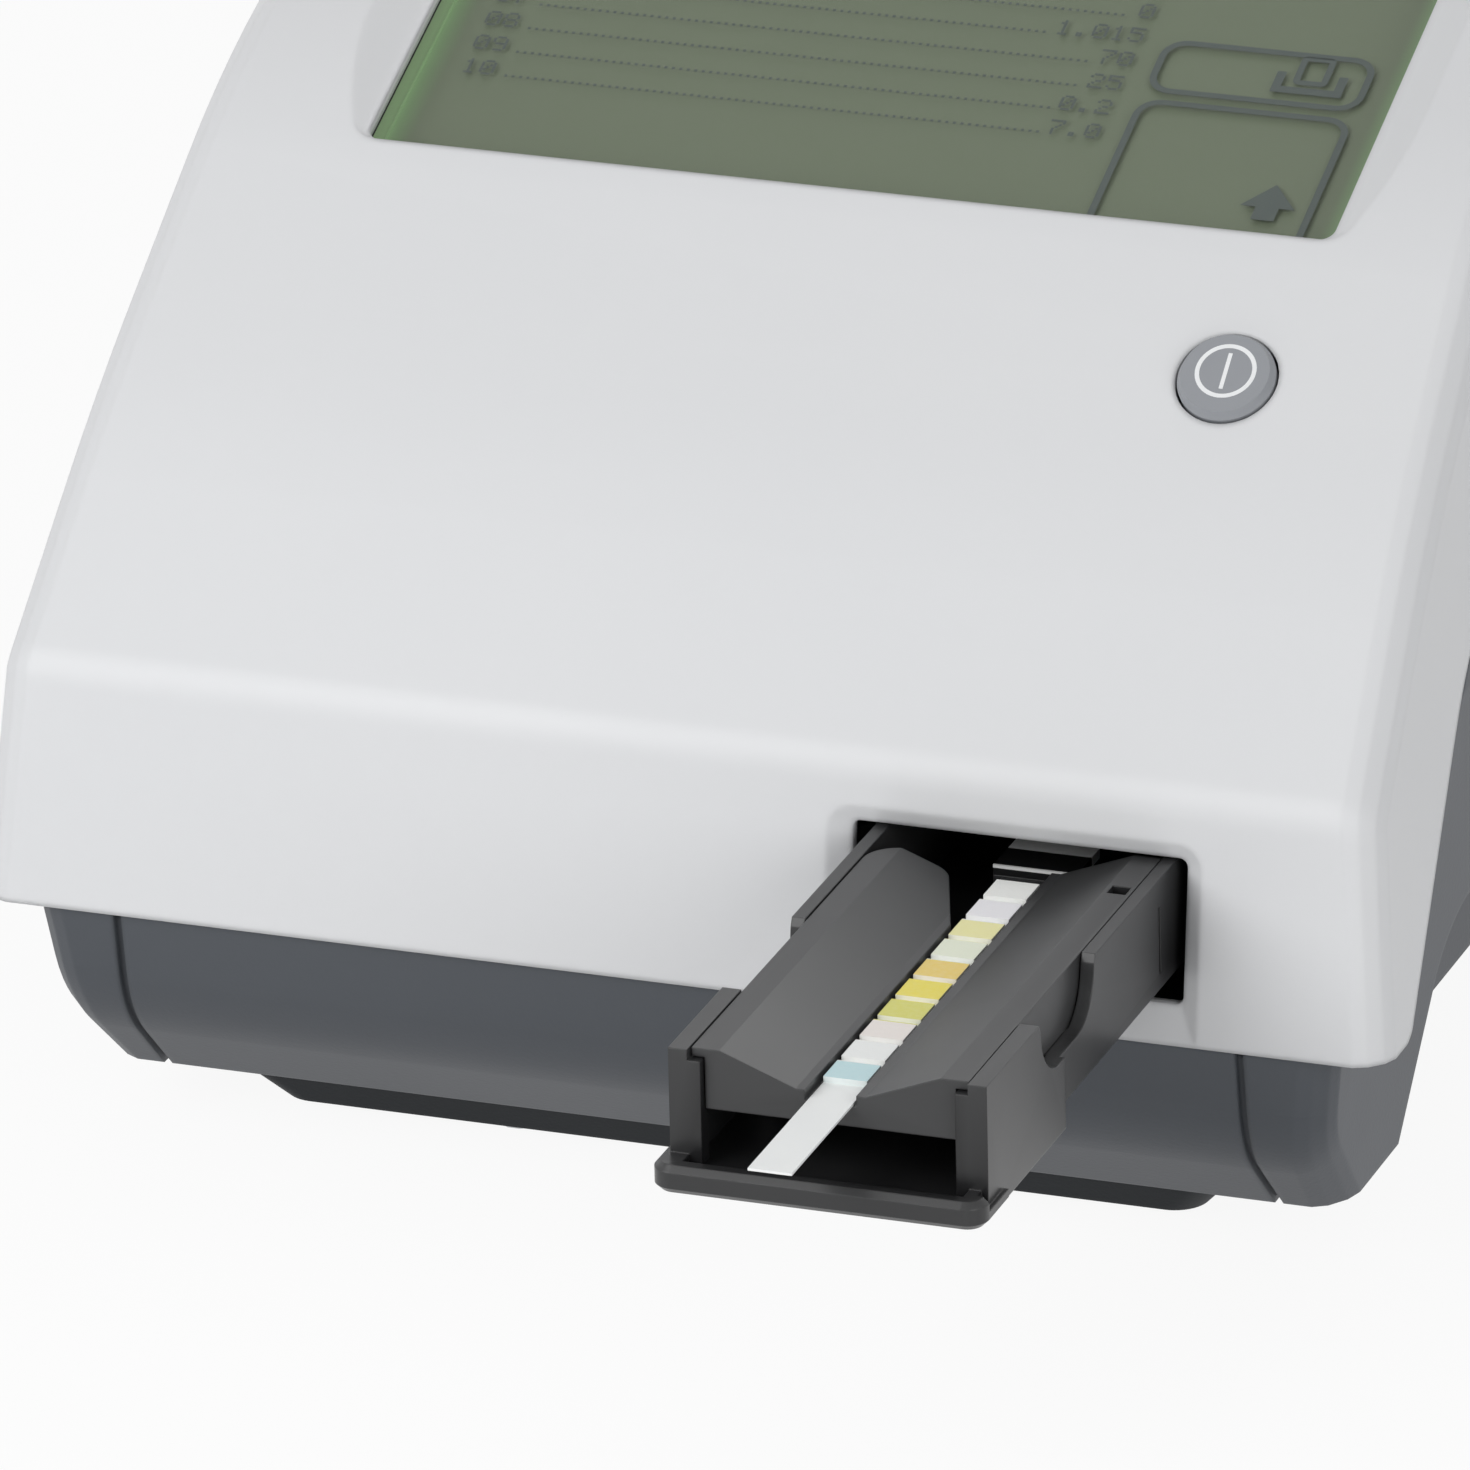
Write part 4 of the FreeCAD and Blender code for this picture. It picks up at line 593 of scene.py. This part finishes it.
digitShapes = {
    "0": "01110 10001 10011 10101 11001 10001 01110", "1": "00100 01100 00100 00100 00100 00100 01110",
    "2": "01110 10001 00001 00110 01000 10000 11111", "3": "01110 10001 00001 00110 00001 10001 01110",
    "4": "00010 00110 01010 10010 11111 00010 00010", "5": "11111 10000 11110 00001 00001 10001 01110",
    "6": "01110 10000 10000 11110 10001 10001 01110", "7": "11111 00001 00010 00100 01000 01000 01000",
    "8": "01110 10001 10001 01110 10001 10001 01110", "9": "01110 10001 10001 01111 00001 00001 01110",
    ".": "00000 00000 00000 00000 00000 01100 01100",
}
digitPitch = 6
pixelShare = 0.9
frameCornerSteps = 6


def roundedFrame(x0, y0, x1, y1, line, radius):
    pieces = []
    corners = [(x1 - radius, y1 - radius, 0.0), (x0 + radius, y1 - radius, 0.25),
               (x0 + radius, y0 + radius, 0.5), (x1 - radius, y0 + radius, 0.75)]
    for x, y, turn in corners:
        pieces += ringPieces((x, y), radius, radius - line, turn * math.tau, (turn + 0.25) * math.tau,
                             frameCornerSteps)
    pieces.append(bar(x0 + radius, y1 - line, x1 - radius, y1))
    pieces.append(bar(x0 + radius, y0, x1 - radius, y0 + line))
    pieces.append(bar(x0, y0 + radius, x0 + line, y1 - radius))
    pieces.append(bar(x1 - line, y0 + radius, x1, y1 - radius))
    return pieces


# one small square for each dark pixel of a number
def numberPieces(text, x, y, pixel):
    pieces = []
    for place, letter in enumerate(text):
        lines = digitShapes[letter].split()
        for row, line in enumerate(lines):
            for column, cell in enumerate(line):
                if cell == "1":
                    x0 = x + (place * digitPitch + column) * pixel
                    y0 = y + (len(lines) - 1 - row) * pixel
                    pieces.append(bar(x0, y0, x0 + pixel * pixelShare, y0 + pixel * pixelShare))
    return pieces


def rowPieces(look):
    pieces = []
    pixel = look["pixel"]
    for index, value in enumerate(look["rows"]):
        y = look["firstRow"] + index * look["rowPitch"]
        label = "%02d" % (len(look["rows"]) - index)
        valueStart = look["rowRight"] - len(value) * digitPitch * pixel
        pieces += numberPieces(label, look["rowLeft"], y, pixel)
        pieces += numberPieces(value, valueStart, y, pixel)
        x = look["rowLeft"] + look["leaderStart"] * pixel
        while x < valueStart - look["leaderEnd"] * pixel:
            pieces.append(bar(x, y, x + pixel, y + pixel))
            x += look["leaderStep"] * pixel
    return pieces


# an arrow that points up, and a sheet that leaves a box
def keyMarks(look):
    x, y = look["arrow"]
    half, wing = look["arrowHalf"], look["arrowWing"]
    neck = y + look["arrowStem"]
    arrow = [(x - half, y), (x + half, y), (x + half, neck), (x + wing, neck), (x, y + look["arrowTop"]),
             (x - wing, neck), (x - half, neck)]
    x, y = look["box"]
    right, top, line = x + look["boxWidth"], y + look["boxHeight"], look["boxLine"]
    box = [bar(x, y, right, y + line), bar(x, y + line, x + line, top),
           bar(right - line, y + line, right, top)]
    low, high = look["sheetLow"], look["sheetHigh"]
    sheet = roundedFrame(x + low[0], y + low[1], x + high[0], y + high[1], look["sheetLine"],
                         look["sheetLine"])
    return [arrow] + box + sheet


def addScreenMarks(look):
    crown, up = topFace("display_module")
    lowest = min(crown, key=lambda point: point.dot(up))
    middle = (min(point.x for point in crown) + max(point.x for point in crown)) * 0.5
    origin = Vector((middle, lowest.y, lowest.z)) + up * look["footInset"]
    matrix = planeMatrix(origin, Vector((1, 0, 0)), up)
    shade = Shade("screenInk")
    blur = shade.noise(look["inkScale"])
    ink = shade.finish(Base_Color=shade.mix(blur, look["ink"], look["inkShade"]), Roughness=look["roughness"],
                       Normal=shade.bump(blur, look["inkStrength"], look["inkDepth"]))
    outlines = rowPieces(look) + keyMarks(look)
    for low, high in look["keyRises"]:
        outlines += roundedFrame(look["keyLeft"], low, look["keyRight"], high, look["line"],
                                 look["cornerRound"])
    mark = flatMark("screen_marks", ink, "unit", matrix, outlines, look["lift"])


addScreenMarks(screenMarks)
print("marks done")

# plain pale floor, and an even white surround
stageLook = {"size": 4.0, "floor": paint(236, 236, 236), "whiteShare": 0.92, "skyLevel": 0.36}
seenRays = ("Is Camera Ray", "Is Glossy Ray", "Is Transmission Ray")


def addFloor(look):
    mesh = bpy.data.meshes.new("floor")
    reach = look["size"]
    mesh.from_pydata([(-reach, -reach, 0), (reach, -reach, 0), (reach, reach, 0), (-reach, reach, 0)], [],
                     [(0, 1, 2, 3)])
    floor = bpy.data.objects.new("floor", mesh)
    bpy.context.scene.collection.objects.link(floor)
    shade = Shade("floorPaint")
    path = shade.add("LightPath", output="Is Camera Ray").socket.node
    rays = [Wire(shade, path.outputs[kind]) for kind in seenRays]
    seen = (rays[0] + rays[1] + rays[2]).clamp()
    plain = shade.add("BsdfDiffuse", None, {"Color": look["floor"]})
    glow = shade.add("Emission", None, {"Color": (1, 1, 1, 1), "Strength": 1.0})
    shade.close(shade.add("MixShader", None, {0: seen * look["whiteShare"], 1: plain, 2: glow}))
    mesh.materials.append(shade.material)


def addSky(look):
    world = bpy.data.worlds.new("studio")
    bpy.context.scene.world = world
    world.use_nodes = True
    tree = world.node_tree
    tree.nodes.clear()
    path = tree.nodes.new("ShaderNodeLightPath")
    output = tree.nodes.new("ShaderNodeOutputWorld")
    surface = tree.nodes.new("ShaderNodeBackground").outputs[0]
    surface.node.inputs["Color"].default_value = (1, 1, 1, 1)
    surface.node.inputs["Strength"].default_value = look["skyLevel"]
    for kind in seenRays:
        white = tree.nodes.new("ShaderNodeBackground")
        white.inputs["Strength"].default_value = 1.0
        white.inputs["Color"].default_value = (1, 1, 1, 1)
        choose = tree.nodes.new("ShaderNodeMixShader")
        tree.links.new(path.outputs[kind], choose.inputs[0])
        tree.links.new(surface, choose.inputs[1])
        tree.links.new(white.outputs[0], choose.inputs[2])
        surface = choose.outputs[0]
    tree.links.new(surface, output.inputs["Surface"])


addFloor(stageLook)
addSky(stageLook)

# soft studio lamps, all turned to one point
lampTarget = Vector((0.0, -0.03, 0.06))
lampLooks = {
    "key": {"place": (-0.55, -0.85, 0.66), "size": 0.9, "power": 7.3},
    "fill": {"place": (0.9, -0.75, 0.4), "size": 0.8, "power": 4.2},
    "back": {"place": (0.1, 0.9, 0.9), "size": 0.8, "power": 1.8},
}


def addLamp(name, look):
    light = bpy.data.lights.new(name, "AREA")
    light.shape = "DISK"
    light.size = look["size"]
    light.energy = look["power"]
    lamp = bpy.data.objects.new(name, light)
    bpy.context.scene.collection.objects.link(lamp)
    lamp.location = look["place"]
    aim = lampTarget - Vector(look["place"])
    lamp.rotation_euler = aim.to_track_quat("-Z", "Y").to_euler()


for lampName, lampLook in lampLooks.items():
    addLamp(lampName, lampLook)

# camera at the photograph's angle
cameraLook = {
    "azimuth": 20.5, "elevation": 22.36, "roll": -1.35, "distance": 1.9, "focalPixels": 16840.0,
    "target": (0.0087, -0.0957, 0.06265), "imageWidth": 1470, "sensor": 36.0, "reach": 20.0,
}


def addCamera(look):
    azimuth = math.radians(look["azimuth"])
    elevation = math.radians(look["elevation"])
    roll = math.radians(look["roll"])
    forward = Vector((-math.sin(azimuth) * math.cos(elevation), math.cos(azimuth) * math.cos(elevation),
                      -math.sin(elevation)))
    level = Vector((math.cos(azimuth), math.sin(azimuth), 0.0))
    upright = level.cross(forward)
    right = level * math.cos(roll) + upright * math.sin(roll)
    up = upright * math.cos(roll) - level * math.sin(roll)
    data = bpy.data.cameras.new("photoCamera")
    data.sensor_width = look["sensor"]
    data.sensor_fit = "HORIZONTAL"
    data.lens = look["focalPixels"] / look["imageWidth"] * look["sensor"]
    data.clip_end = look["reach"]
    camera = bpy.data.objects.new("photoCamera", data)
    bpy.context.scene.collection.objects.link(camera)
    turn = Matrix((right, up, -forward)).transposed().to_4x4()
    camera.matrix_world = Matrix.Translation(Vector(look["target"]) - forward * look["distance"]) @ turn
    bpy.context.scene.camera = camera


addCamera(cameraLook)
bpy.context.scene.view_settings.view_transform = "Standard"
print("stage, lamps and camera done")
